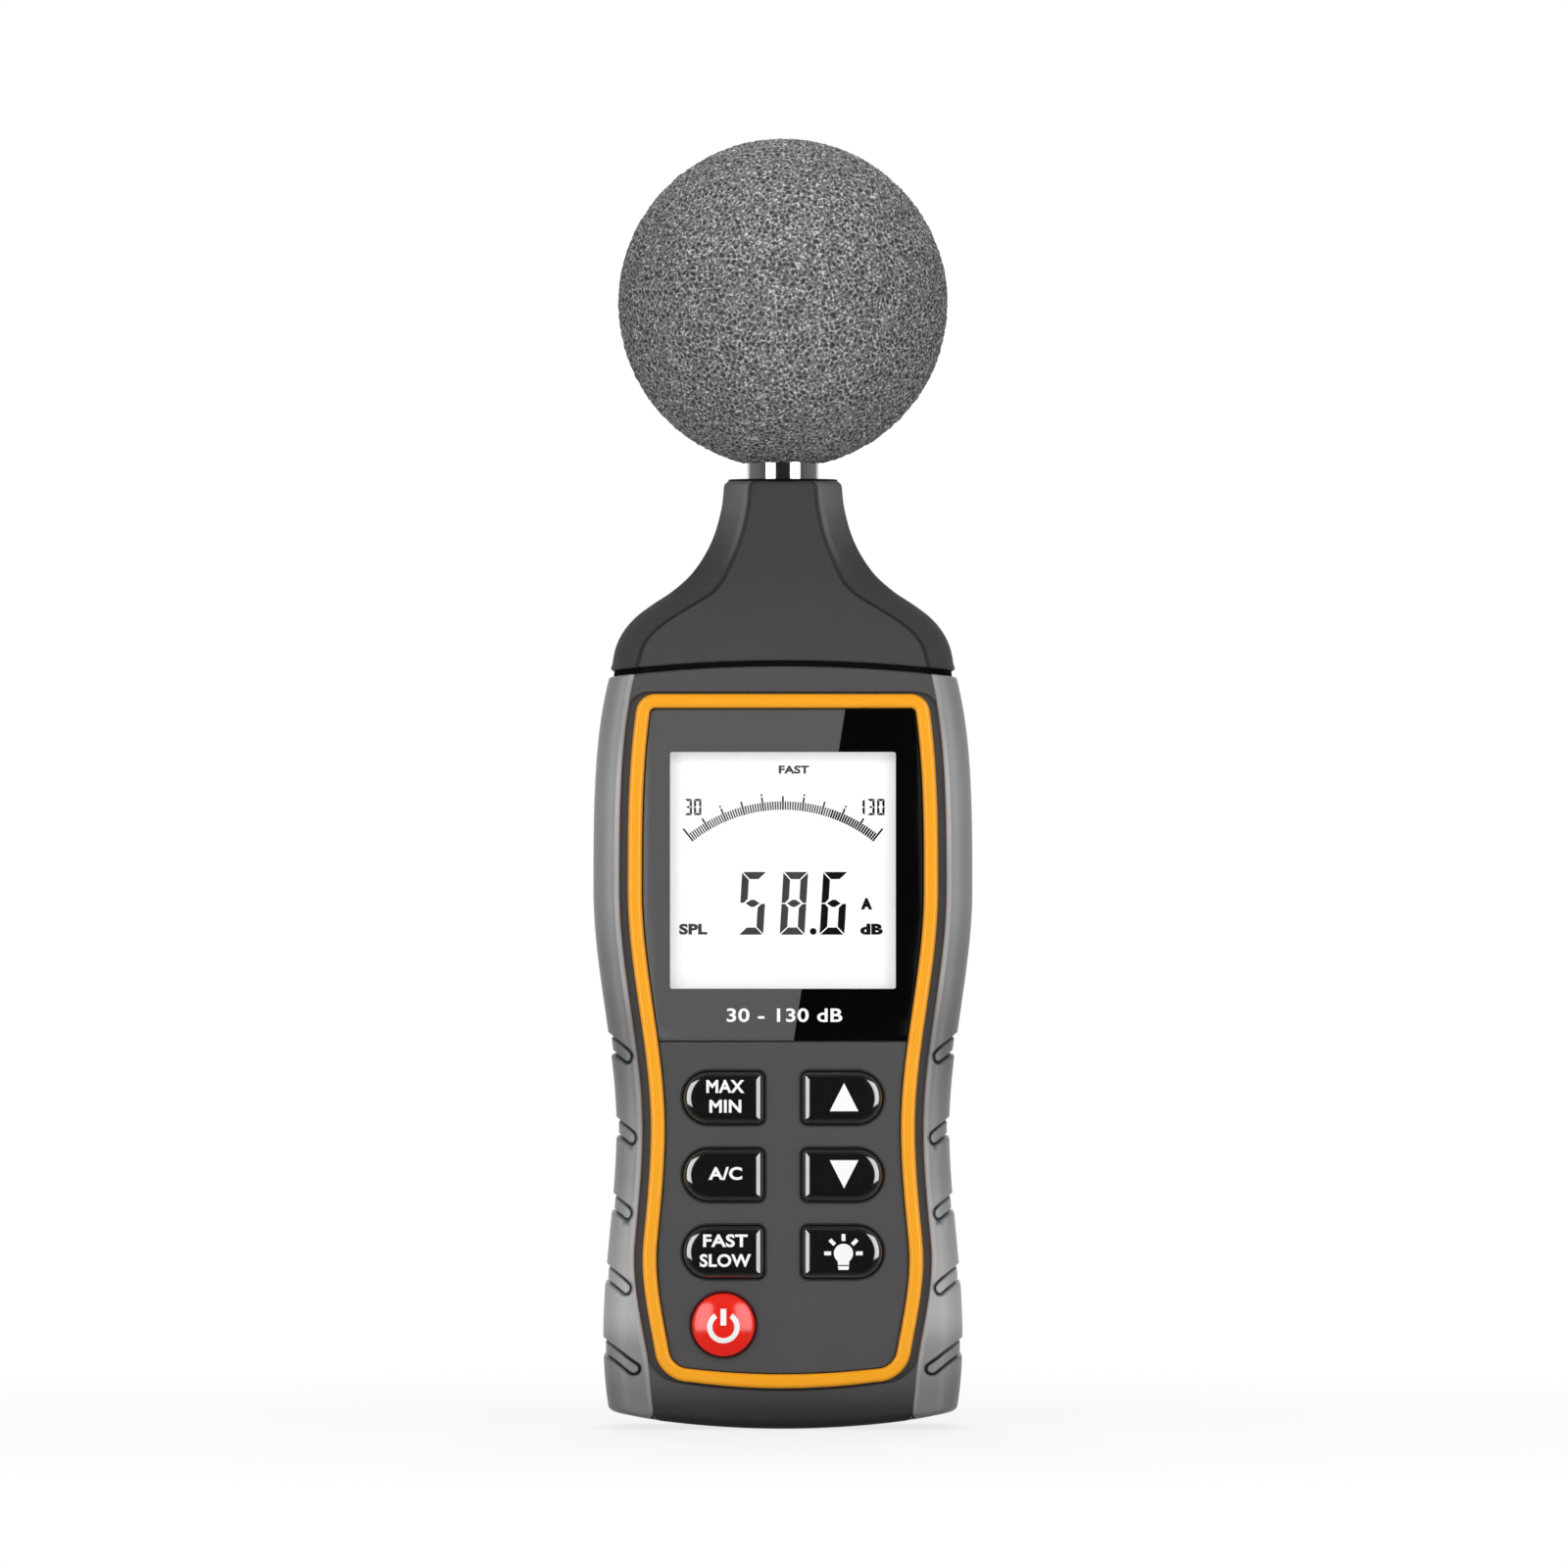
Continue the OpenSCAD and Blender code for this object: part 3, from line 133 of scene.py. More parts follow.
class MeterShape(bpy.types.PropertyGroup):
    """Sizes of the meter's outer form. Heights run up from the foot."""

    foot_w: length("Foot width", 0.0654, "Width across the foot")
    foot_z: length("Foot height", 0.017, "Height of the foot's widest place")
    foot_draft: length("Foot draft", 0.0011, "How far each side draws in under the foot's widest place")
    foot_r: length("Foot rounding", 0.002, "Rounding around the underside")
    foot_bow: length("Foot bow", 0.0031, "How far the underside bows down in its middle")
    waist_w: length("Waist width", 0.0606, "Width at the waist")
    waist_z: length("Waist height", 0.0546, "Height of the waist")
    chest_w: length("Chest width", 0.069, "Width at the chest")
    chest_z: length("Chest height", 0.098, "Height of the chest")
    shoulder_w: length("Shoulder width", 0.063, "Width at the seam under the head")
    seam_z: length("Seam height", CASE_TOP + 0.4 * MM, "Height of the seam under the head")
    seam_bow: length("Seam bow", 0.002, "How far the seam rises in its middle")
    seam_r: length("Seam rounding", 0.0005, "Rounding of the edges along the seam")
    wall: length("Wall", 0.002, "Wall of the case and head shells")
    grip_t: length("Grip thickness", 0.002, "Thickness of the soft grips")
    grip_band: length("Grip strip", 0.0048, "Width of a grip's strip on the front")
    grip_flare: length("Grip flare", 0.0036, "How much wider that strip gets at the foot")
    grip_flare_z: length("Grip flare height", 0.034, "Height where the strip starts to widen")
    grip_rise: length("Grip rise", 0.0004, "How far the grips stand proud of the front")
    grip_chamfer: length("Grip chamfer", 0.0011, "Width of the chamfer along a grip's inner edge")
    edge_d: length("Side rounding", 0.007, "Depth of the round edge that runs into the side")
    groove_w: length("Groove width", 0.003, "Width of the grip grooves")
    groove_d: length("Groove depth", 0.00045, "Depth of the grip grooves")
    groove_angle: number(
        "Groove angle",
        math.radians(36),
        "Rise of the grooves towards the side",
        subtype="ANGLE",
        unit="ROTATION",
    )
    collar_w: length("Collar width", 0.0216, "Width of the head's collar")
    collar_t: length("Collar depth", 0.021, "Depth of the head's collar")
    collar_r: length("Collar rounding", 0.0011, "Rounding of the collar's top edge")
    bevel_w: length("Bevel width", 0.0044, "Width of the bevel along the head's front edges")
    bevel_d: length("Bevel depth", 0.004, "Depth of that bevel at the collar")
    rim_w: length("Rim width", 0.0015, "Width of the plain rim between grip and trim")
    trim_w: length("Trim width", 0.0026, "Width of the coloured trim")
    trim_seat: length("Trim seat", 0.0009, "Depth of the trim's seat in the case")
    trim_bottom: length("Trim bottom", 0.0074, "Height of the trim's lower edge")
    trim_drop: length("Trim drop", 0.0054, "Distance from the trim's upper edge to the seam")
    trim_top_r: length("Trim top radius", 0.0036, "Corner radius at the top of the trim")
    trim_bottom_r: length("Trim bottom radius", 0.0064, "Corner radius at the bottom of the trim")
    window_w: length("Window width", 0.041, "Width of the display window")
    window_h: length("Window height", 0.043, "Height of the display window")
    window_z: length("Window height above foot", 0.1015, "Height of the middle of the window")
    key_w: length("Key width", 0.0146, "Width of a key")
    key_h: length("Key height", 0.0094, "Height of a key")
    key_gap: length("Key gap", 0.00025, "Gap around a key in its hole")
    ball_bore: length("Ball bore", 0.00668, "Radius of the bore in the foam ball")

    def case_half(self, h):
        """Half width of the case at a height."""
        foot = self.foot_w / 2 - self.foot_draft * (1 - h / self.foot_z) ** 2
        hips = mix(self.foot_w, self.waist_w, ease(share(h, self.foot_z, self.waist_z))) / 2
        ribs = mix(self.waist_w, self.chest_w, ease(share(h, self.waist_z, self.chest_z))) / 2
        top = mix(self.chest_w, self.shoulder_w, share(h, self.chest_z, self.seam_z) ** 3) / 2
        return np.select([h < self.foot_z, h < self.waist_z, h < self.chest_z], [foot, hips, ribs], top)

    def grip_edge(self, h):
        """Where the inner edge of a grip's strip lies; its lower corner is rounded off."""
        strip = self.grip_band + self.grip_flare * ease(share(h, self.grip_flare_z, 8 * MM))
        return self.case_half(h) - strip + 0.9 * MM * clamp(1 - h / (2.4 * MM)) ** 2

    def narrowing(self, h):
        """Share of the way from shoulder to collar, along a smooth curve through a few points."""
        heights = np.array([0, 0.12, 0.2, 0.27, 0.33, 0.4, 0.5, 0.66, 0.84, 1])
        shares = np.array([0, 0.04, 0.11, 0.22, 0.36, 0.54, 0.72, 0.88, 0.97, 1])
        t = clamp(share(h, self.seam_z, COLLAR))
        last = len(heights) - 1
        i = np.clip(np.searchsorted(heights, t, side="right") - 1, 0, last - 1)
        low, high = np.maximum(np.arange(last + 1) - 1, 0), np.minimum(np.arange(last + 1) + 1, last)
        slope = (shares[high] - shares[low]) / (heights[high] - heights[low])
        w = heights[i + 1] - heights[i]
        u = (t - heights[i]) / w
        ends = shares[i] * (1 + 2 * u) * (1 - u) ** 2 + shares[i + 1] * u * u * (3 - 2 * u)
        return ends + slope[i] * w * u * (1 - u) ** 2 + slope[i + 1] * w * u * u * (u - 1)

    def head_half(self, h):
        """Half width of the head at a height."""
        return mix(self.shoulder_w, self.collar_w, self.narrowing(h)) / 2

    def head_half_t(self, h):
        """Half depth of the head, which thins out more evenly than its width."""
        t = clamp(share(h, self.seam_z, COLLAR))
        return mix(DEPTH, self.collar_t, mix(t, ease(t), 0.5)) / 2

    def lift(self, h, x):
        """How far a point is raised or lowered, because the underside and the seam are bowed."""
        reach = 20 * MM
        foot = (x / (self.foot_w / 2) * clamp(1 - h / reach)) ** 2
        seam = (x / (self.shoulder_w / 2) * clamp(1 - abs(self.seam_z - h) / reach)) ** 2
        return self.foot_bow * foot - self.seam_bow * seam

    def trim_half(self, h, inset):
        """Half width of the trim's outline, inset from its outer edge."""
        return self.grip_edge(h) - self.rim_w - inset


class MeterColours(bpy.types.PropertyGroup):
    """Colours of the meter's finishes."""

    case: tint("Case", (0.076, 0.076, 0.078), "Moulded case")
    head: tint("Head", (0.053, 0.053, 0.053), "Moulded head")
    grip: tint("Grips", (0.27, 0.27, 0.272), "Soft side grips")
    trim: tint("Trim", (0.94, 0.385, 0.008), "Trim around the front")
    # The grey is a painted reflection: a lamp's glare on the left part of the lens, whose print is black.
    print_grey: tint("Lens print, grey", (0.098, 0.098, 0.102), "Left part of the print behind the lens")
    print_black: tint("Lens print, black", (0.002, 0.002, 0.002), "Right part of the print behind the lens")
    display: tint("Display", (0.84, 0.84, 0.84), "Ground of the display")
    # The grey is a painted reflection: the lens's glare over the black segments left of the slant.
    segment_grey: tint("Segments, grey", (0.055, 0.055, 0.056), "Segments left of the slant")
    segment_black: tint("Segments, black", (0.004, 0.004, 0.004), "Segments right of the slant")
    key: tint("Keys", (0.004, 0.004, 0.0045), "Black keys")
    legend: tint("Legends", (0.96, 0.96, 0.96), "Printing on the keys and the lens")
    power: tint("Power button", (0.92, 0.014, 0.004), "Red power button")
    foam: tint("Foam", (0.16, 0.16, 0.16), "Foam ball")


class MeterStage(bpy.types.PropertyGroup):
    """Where the camera and the lamps stand."""

    view_side: length("View side", 0.0002, "Middle of the view across, in the frame")
    view_height: length("View height", 0.0312, "Middle of the view up, in the frame")
    view_size: length("View size", 0.2864, "Width and height of the view at the meter's middle")
    distance: length("Distance", 3.0, "Distance from the camera to the meter's middle")
    floor_r: length("Floor radius", 0.42, "Radius of the pale floor")
    side_power: number("Side lamps", 3.0, "Power of each side lamp", unit="POWER")
    front_power: number("Front lamp", 7.5, "Power of the front lamp", unit="POWER")
    back_power: number("Back lamp", 16.0, "Power of the lamp behind", unit="POWER")
    fill: number("Fill", 0.18, "Strength of the soft light all round")
    dim: number("Dim side", 0.02, "What gloss shows straight in front of the meter")


def shape():
    """The meter's sizes, as the scene has them."""
    return bpy.context.scene.meter_shape


# ---- Meshes ----------------------------------------------------------------


def place(points):
    """Points as [across, back from the front, up from the foot] to the frame's own axes."""
    return np.asarray(points, float) + np.array([0, FRONT, FOOT])


def upright(loop, depth):
    """A flat outline, across and up from the foot, as points at a depth behind the front."""
    loop = np.asarray(loop, float)
    return place(np.stack([loop[:, 0], np.full(len(loop), depth), loop[:, 1]], axis=1))


def linked(name, data):
    """A new object in the scene."""
    obj = bpy.data.objects.new(name, data)
    bpy.context.scene.collection.objects.link(obj)
    return obj


@contextmanager
def edited(mesh):
    """A mesh opened for work, and written back at the end."""
    work = bmesh.new()
    work.from_mesh(mesh)
    yield work
    work.to_mesh(mesh)
    work.free()


def finished(obj, smooth=SMOOTH):
    """Merges doubles, turns normals outward, and shades smooth below an angle in degrees."""
    mesh = obj.data
    with edited(mesh) as work:
        bmesh.ops.remove_doubles(work, verts=work.verts, dist=1e-7)
        bmesh.ops.recalc_face_normals(work, faces=work.faces)
    mesh.polygons.foreach_set("use_smooth", [True] * len(mesh.polygons))
    mesh.set_sharp_from_angle(angle=math.radians(smooth))
    mesh.update()
    return obj


def skin(name, rings, smooth=SMOOTH, caps=True):
    """A skin over rings of points, each closed round, with a cap over the first and the last."""
    rings = np.asarray(rings, float)
    rows, n = rings.shape[:2]
    faces = [
        (j * n + i, j * n + (i + 1) % n, (j + 1) * n + (i + 1) % n, (j + 1) * n + i)
        for j in range(rows - 1)
        for i in range(n)
    ]
    if caps:
        faces += [tuple(range(n))[::-1], tuple(range((rows - 1) * n, rows * n))]
    return make(name, rings.reshape(-1, 3), faces, smooth)


def make(name, vertices, faces, smooth=SMOOTH):
    """A new object from points and faces."""
    mesh = bpy.data.meshes.new(name)
    mesh.from_pydata([tuple(v) for v in vertices], [], faces)
    return finished(linked(name, mesh), smooth)


def hoop(name, rings, smooth=SMOOTH):
    """A closed ring-shaped body: the last ring of points joins the first."""
    return skin(name, [*rings, rings[0]], smooth, caps=False)


def stack(name, outline, levels):
    """A body along y: an outline, as a function of how far it grows, at each (depth, growth)."""
    return skin(name, [upright(outline(growth), depth) for depth, growth in levels])


def circle(steps):
    """Evenly spaced angles all round."""
    return np.arange(steps) * 2 * math.pi / steps


def lathe(name, profile, centre, axis="z", steps=96, smooth=SMOOTH, ring=False):
    """Turns (radius, distance along the axis) around an axis through the centre."""
    angle = circle(steps)
    rings = []
    for radius, along in profile:
        a, b, c = radius * np.cos(angle), radius * np.sin(angle), np.full(steps, along)
        turned = (a, b, c) if axis == "z" else (a, c, b)
        rings.append(np.stack(turned, axis=1) + np.array(centre))
    return (hoop if ring else skin)(name, rings, smooth)


def box(name, low, high):
    """A plain block between two corners, used as a cutter or a base."""
    loop = [(low[0], low[2]), (high[0], low[2]), (high[0], high[2]), (low[0], high[2])]
    return skin(name, [[(x, y, z) for x, z in loop] for y in (low[1], high[1])])


def combine(obj, others, operation="DIFFERENCE"):
    """Cuts others out of obj, or joins them on, and removes them."""
    for other in others:
        modifier = obj.modifiers.new("combine", "BOOLEAN")
        modifier.operation, modifier.solver, modifier.object = operation, "EXACT", other
        graph = bpy.context.evaluated_depsgraph_get()
        graph.update()
        mesh = bpy.data.meshes.new_from_object(obj.evaluated_get(graph), depsgraph=graph)
        obj.modifiers.clear()
        obj.data = mesh
        bpy.data.objects.remove(other)
    with edited(obj.data) as work:
        bmesh.ops.holes_fill(work, edges=[edge for edge in work.edges if edge.is_boundary], sides=0)
    return finished(obj)


def joined(name, objects):
    """Several objects as one, which takes their place."""
    obj = linked(name, bpy.data.meshes.new(name))
    with edited(obj.data) as work:
        for other in objects:
            work.from_mesh(other.data)
    for other in objects:
        bpy.data.objects.remove(other)
    return finished(obj)


def dress(obj, finishes, body, slot, *replaced):
    """Gives a piece its finishes, the body that it rides on and the nodes that it stands for."""
    obj.data.materials.clear()
    for name in finishes:
        obj.data.materials.append(finish(name))
    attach(obj, body)
    if replaced:
        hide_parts(*replaced)


# ---- Outlines --------------------------------------------------------------


def arc(x, z, r, start, end, steps):
    """Points along an arc around (x, z), between two angles in degrees."""
    angle = np.radians(np.linspace(start, end, steps + 1))
    return np.stack([x + r * np.cos(angle), z + r * np.sin(angle)], axis=1)


def mirrored(half):
    """A closed outline from its right half, which runs from the lower middle to the upper middle."""
    left = half[::-1] * np.array([-1, 1])
    return np.concatenate([half, left[1:-1]])


def round_rect(x, z, w, h, r, steps=8):
    """A rounded rectangle as a function of how far it grows."""

    def outline(growth):
        a, b, q = w / 2 + growth, h / 2 + growth, max(r + growth, TINY_R)
        corners = [(a - q, q - b, -90), (a - q, b - q, 0), (q - a, b - q, 90), (q - a, q - b, 180)]
        return np.concatenate([arc(x + cx, z + cz, q, s, s + 90, steps) for cx, cz, s in corners])

    return outline


def disc(x, z, r, steps=96):
    """A circle as a function of how far it grows."""
    return lambda growth: arc(x, z, r + growth, 0, 360 * (steps - 1) / steps, steps - 1)


def trim_outline(inset, side=None):
    """The trim's outline, inset from its outer edge, and by another amount at the sides if given."""
    s = shape()
    across = inset if side is None else side
    z0, z1 = s.trim_bottom + inset, s.seam_z - s.trim_drop - inset
    r0, r1 = max(1 * MM, s.trim_bottom_r - inset), max(0.8 * MM, s.trim_top_r - inset)

    def tilt(h):
        return math.atan((s.trim_half(h - MM / 2, 0) - s.trim_half(h + MM / 2, 0)) / MM)

    a0, a1 = tilt(z0 + r0), tilt(z1 - r1)
    sag = s.lift(0, s.trim_half(z0 + r0, across) - r0 / 2)
    across_steps, side_steps = 25, 122
    c0 = (s.trim_half(z0 + sag + r0 + r0 * math.sin(a0), across) - r0 * math.cos(a0), z0 + sag + r0)
    c1 = (s.trim_half(z1 - r1 + r1 * math.sin(a1), across) - r1 * math.cos(a1), z1 - r1)
    low, high = c0[1] + r0 * math.sin(a0), c1[1] + r1 * math.sin(a1)
    x = np.linspace(0, c0[0], across_steps)[:-1]
    bottom = np.stack([x, z0 + sag * (x / c0[0]) ** 2], axis=1)
    h = np.linspace(low, high, side_steps)[1:-1]
    sides = np.stack([s.trim_half(h, across), h], axis=1)
    top = np.stack([np.linspace(c1[0], 0, across_steps)[1:], np.full(across_steps - 1, z1)], axis=1)
    # The lower corner starts a little past straight down, where it meets the bowed lower edge.
    lower = arc(*c0, r0, -84, math.degrees(a0), 16)
    upper = arc(*c1, r1, math.degrees(a1), 90, 14)
    return mirrored(np.concatenate([bottom, lower, sides, upper, top]))


def lens_outline(bottom):
    """The lens fills the trim from its lower edge up."""

    def outline(growth):
        s = shape()
        nominal, whole = trim_outline(s.trim_w), trim_outline(s.trim_w - growth)
        right = len(whole) // 2 + 1
        above = whole[:right][nominal[:right, 1] > bottom + MM]
        edge = s.trim_half(bottom - growth, s.trim_w - growth)
        return mirrored(np.concatenate([[[0, bottom - growth], [edge, bottom - growth]], above]))

    return outline


def key_outline(side, x, z):
    """A key: round on its outer side, square on the side that faces the middle."""
    s = shape()
    corner_r = MM

    def outline(growth):
        w, h = s.key_w / 2 + growth, s.key_h / 2 + growth
        r = max(corner_r + growth, 0.05 * MM)
        square = [arc(r - w, h - r, r, 90, 180, 6), arc(r - w, r - h, r, 180, 270, 6)]
        loop = np.concatenate([arc(w - h, 0, h, -90, 90, 28), *square])
        loop = loop * np.array([side, 1]) + np.array([x, z])
        return loop if side > 0 else loop[::-1]

    return outline


# ---- Materials -------------------------------------------------------------


def feed(socket, value):
    """Links a node's input to an output, or gives it a plain value."""
    if isinstance(value, bpy.types.NodeSocket):
        socket.id_data.links.new(value, socket)
    else:
        socket.default_value = value


def add_node(tree, kind, inputs=None, **settings):
    """Adds a shader node and gives its outputs. The inputs go by name or by number."""
    made = tree.nodes.new("ShaderNode" + kind)
    for name, value in settings.items():
        setattr(made, name, value)
    for key, value in (inputs or {}).items():
        feed(made.inputs[key], value)
    return made.outputs


def add_ramp(tree, factor, stops, interpolation="LINEAR"):
    """Adds a colour ramp through (position, colour), and gives its output."""
    made = tree.nodes.new("ShaderNodeValToRGB")
    made.color_ramp.interpolation = interpolation
    elements = made.color_ramp.elements
    for i, (position, colour) in enumerate(stops):
        stop = elements[i] if i < 2 else elements.new(position)
        stop.position = position
        stop.color = (*colour, 1)
    feed(made.inputs["Fac"], factor)
    return made.outputs["Color"]


def shader_of(material):
    """The inputs of a material's shader."""
    return material.node_tree.nodes["Principled BSDF"].inputs


def surface(
    name,
    colour,
    roughness,
    bright=1,
    grain=0.35,
    depth=0.02,
    mottle=0.06,
    cloud=9,
    gloss_change=0.06,
    **sockets,
):
    """A moulded or machined finish: fine grain in its bump, slow changes in colour and in gloss.

    The size and depth of the grain and the size of the slow changes (cloud) are in mm.
    Mottle is how much the colour changes, and gloss_change how much the roughness does.
    """
    material = bpy.data.materials.new(name)
    material.use_nodes = True
    tree = material.node_tree
    shader = shader_of(material)
    for socket, value in sockets.items():
        shader[socket.replace("_", " ")].default_value = value
    at = add_node(tree, "TexCoord")["Object"]
    fine = add_node(tree, "TexNoise", {"Vector": at, "Scale": 1 / (grain * MM), "Detail": 3})["Fac"]
    slow = add_node(tree, "TexNoise", {"Vector": at, "Scale": 1 / (cloud * MM), "Detail": 4})["Fac"]
    low, high = max(roughness - gloss_change, 0.02), min(roughness + gloss_change, 1)
    gloss = add_node(tree, "MapRange", {"Value": slow, "To Min": low, "To Max": high})["Result"]
    dark, light = [(*[min(bright * c * (1 + way * mottle), 1) for c in colour], 1) for way in (-1, 1)]
    tone = add_node(tree, "Mix", {"Factor": slow, "A": dark, "B": light}, data_type="RGBA")["Result"]
    bump = add_node(tree, "Bump", {"Height": fine, "Strength": 1, "Distance": depth * MM})["Normal"]
    for socket, value in (("Roughness", gloss), ("Base Color", tone), ("Normal", bump)):
        feed(shader[socket], value)
    return material


def multiplied(material, factor, colour):
    """Multiplies a finish's colour by another, as far as a factor says."""
    base = shader_of(material)["Base Color"]
    inputs = {"Factor": factor, "A": base.links[0].from_socket, "B": colour}
    product = add_node(material.node_tree, "Mix", inputs, data_type="RGBA", blend_type="MULTIPLY")
    feed(base, product["Result"])


def paint_light_and_shade_by_height(material, tones):
    """Paints light and shade into a finish along the meter's height: (height in mm, tone) from the foot up.
    """
    tree = material.node_tree
    strongest, highest = max(tone for _, tone in tones), tones[-1][0]
    source = shader_of(material)["Base Color"].links[0].from_node
    if source.type == "VALTORGB":
        for stop in source.color_ramp.elements:
            stop.color = (*[min(c * strongest, 1) for c in stop.color[:3]], 1)
    else:
        for end in (source.inputs["A"], source.inputs["B"]):
            end.default_value = (*[c * strongest for c in end.default_value[:3]], 1)
    up = add_node(tree, "SeparateXYZ", {"Vector": add_node(tree, "TexCoord")["Object"]})["Z"]
    span = {"Value": up, "From Min": FOOT, "From Max": FOOT + highest * MM}
    height = add_node(tree, "MapRange", span)["Result"]
    stops = [(h / highest, [tone / strongest] * 3) for h, tone in tones]
    multiplied(material, 1, add_ramp(tree, height, stops, "EASE"))


def shaded(material, layer, tone):
    """Paints shade or light into a finish where a mesh says so, under a layer's name."""
    where = add_node(material.node_tree, "Attribute", attribute_name=layer)["Fac"]
    multiplied(material, where, (tone, tone, tone, 1))


def webbed(material):
    """Gives foam its light strands around dark pores, at two sizes."""
    tree = material.node_tree
    at = add_node(tree, "TexCoord")["Object"]
    inputs = {"Vector": at, "Scale": 1 / (1.05 * MM)}
    strands = add_node(tree, "TexVoronoi", inputs, feature="DISTANCE_TO_EDGE")["Distance"]
    speckle = add_node(tree, "TexNoise", {"Vector": at, "Scale": 1 / (0.5 * MM), "Detail": 2})["Fac"]
    light = add_node(tree, "Math", {0: speckle, 1: strands}, operation="SUBTRACT")["Value"]
    stops = [
        (position, [min(c * level, 1) for c in bpy.context.scene.meter_colours.foam])
        for position, level in ((0.12, 0.25), (0.34, 0.75), (0.48, 1.35), (0.62, 3.4))
    ]
    feed(shader_of(material)["Base Color"], add_ramp(tree, light, stops))


# Painted light and shade: how much lighter or darker each finish is painted along the meter's height, where
# light falls on it more or less: (height in mm, tone).
# The grips: painted light where their faces tilt up towards the lamps, painted shade where they tilt away and
# at the foot.
GRIP_PAINTED_LIGHT_AND_SHADE = (
    (0.6, 0.3), (2.2, 0.66), (6, 0.68), (14, 0.95), (21, 1.6), (33, 1.36),
    (48, 1.0), (72, 0.66), (84, 0.8), (98, 1.0), (116, 1.06), (134, 0.96),
)
# The grips' inner chamfer: how strong its painted highlight is along the height.
EDGE_PAINTED_HIGHLIGHT = (
    (2, 0.42), (7, 0.56), (14, 0.78), (22, 1.0), (34, 1.02), (48, 0.88), (60, 0.68),
    (72, 0.54), (83, 0.84), (100, 0.9), (116, 1.05), (130, 0.75), (139, 0.8),
)
# The case: painted shade, darker towards its foot.
CASE_PAINTED_SHADE = ((0.3, 0.26), (2, 0.34), (4, 0.45), (6.5, 0.72), (9, 1.0), (139, 1.0))
# The head: painted light, lighter towards the seam.
HEAD_PAINTED_LIGHT = ((139, 1.18), (148, 1.1), (158, 1.0), (172, 1.0))
# The trim: painted light, a little lighter towards the foot.
TRIM_PAINTED_LIGHT = ((4, 1.05), (60, 1.02), (134, 1.0))
# The foam ball: painted light, lighter towards its top.
FOAM_PAINTED_LIGHT = ((172, 1.15), (184, 1.08), (205, 1.12), (217, 1.3), (226, 1.5), (235, 1.6))

# What changes a finish's colour after it is made: painted light and shade along the height, painted shade in
# lines, a painted highlight, and the foam's strands.
CHANGES = {
    "case": [(paint_light_and_shade_by_height, CASE_PAINTED_SHADE)],
    # On the head, the "groove" layer is painted shade in its line and the "rim" layer a painted highlight on
    # its bevel.
    "head": [(paint_light_and_shade_by_height, HEAD_PAINTED_LIGHT), (shaded, "groove", 0.4), (shaded, "rim", 2.6)],
    # On the grips, the "groove" layer is painted shade along the grooves' edge lines.
    "grip": [(paint_light_and_shade_by_height, GRIP_PAINTED_LIGHT_AND_SHADE), (shaded, "groove", 0.1)],
    "grip_edge": [(paint_light_and_shade_by_height, EDGE_PAINTED_HIGHLIGHT)],
    "trim": [(paint_light_and_shade_by_height, TRIM_PAINTED_LIGHT)],
    "foam": [(webbed,), (paint_light_and_shade_by_height, FOAM_PAINTED_LIGHT)],
}

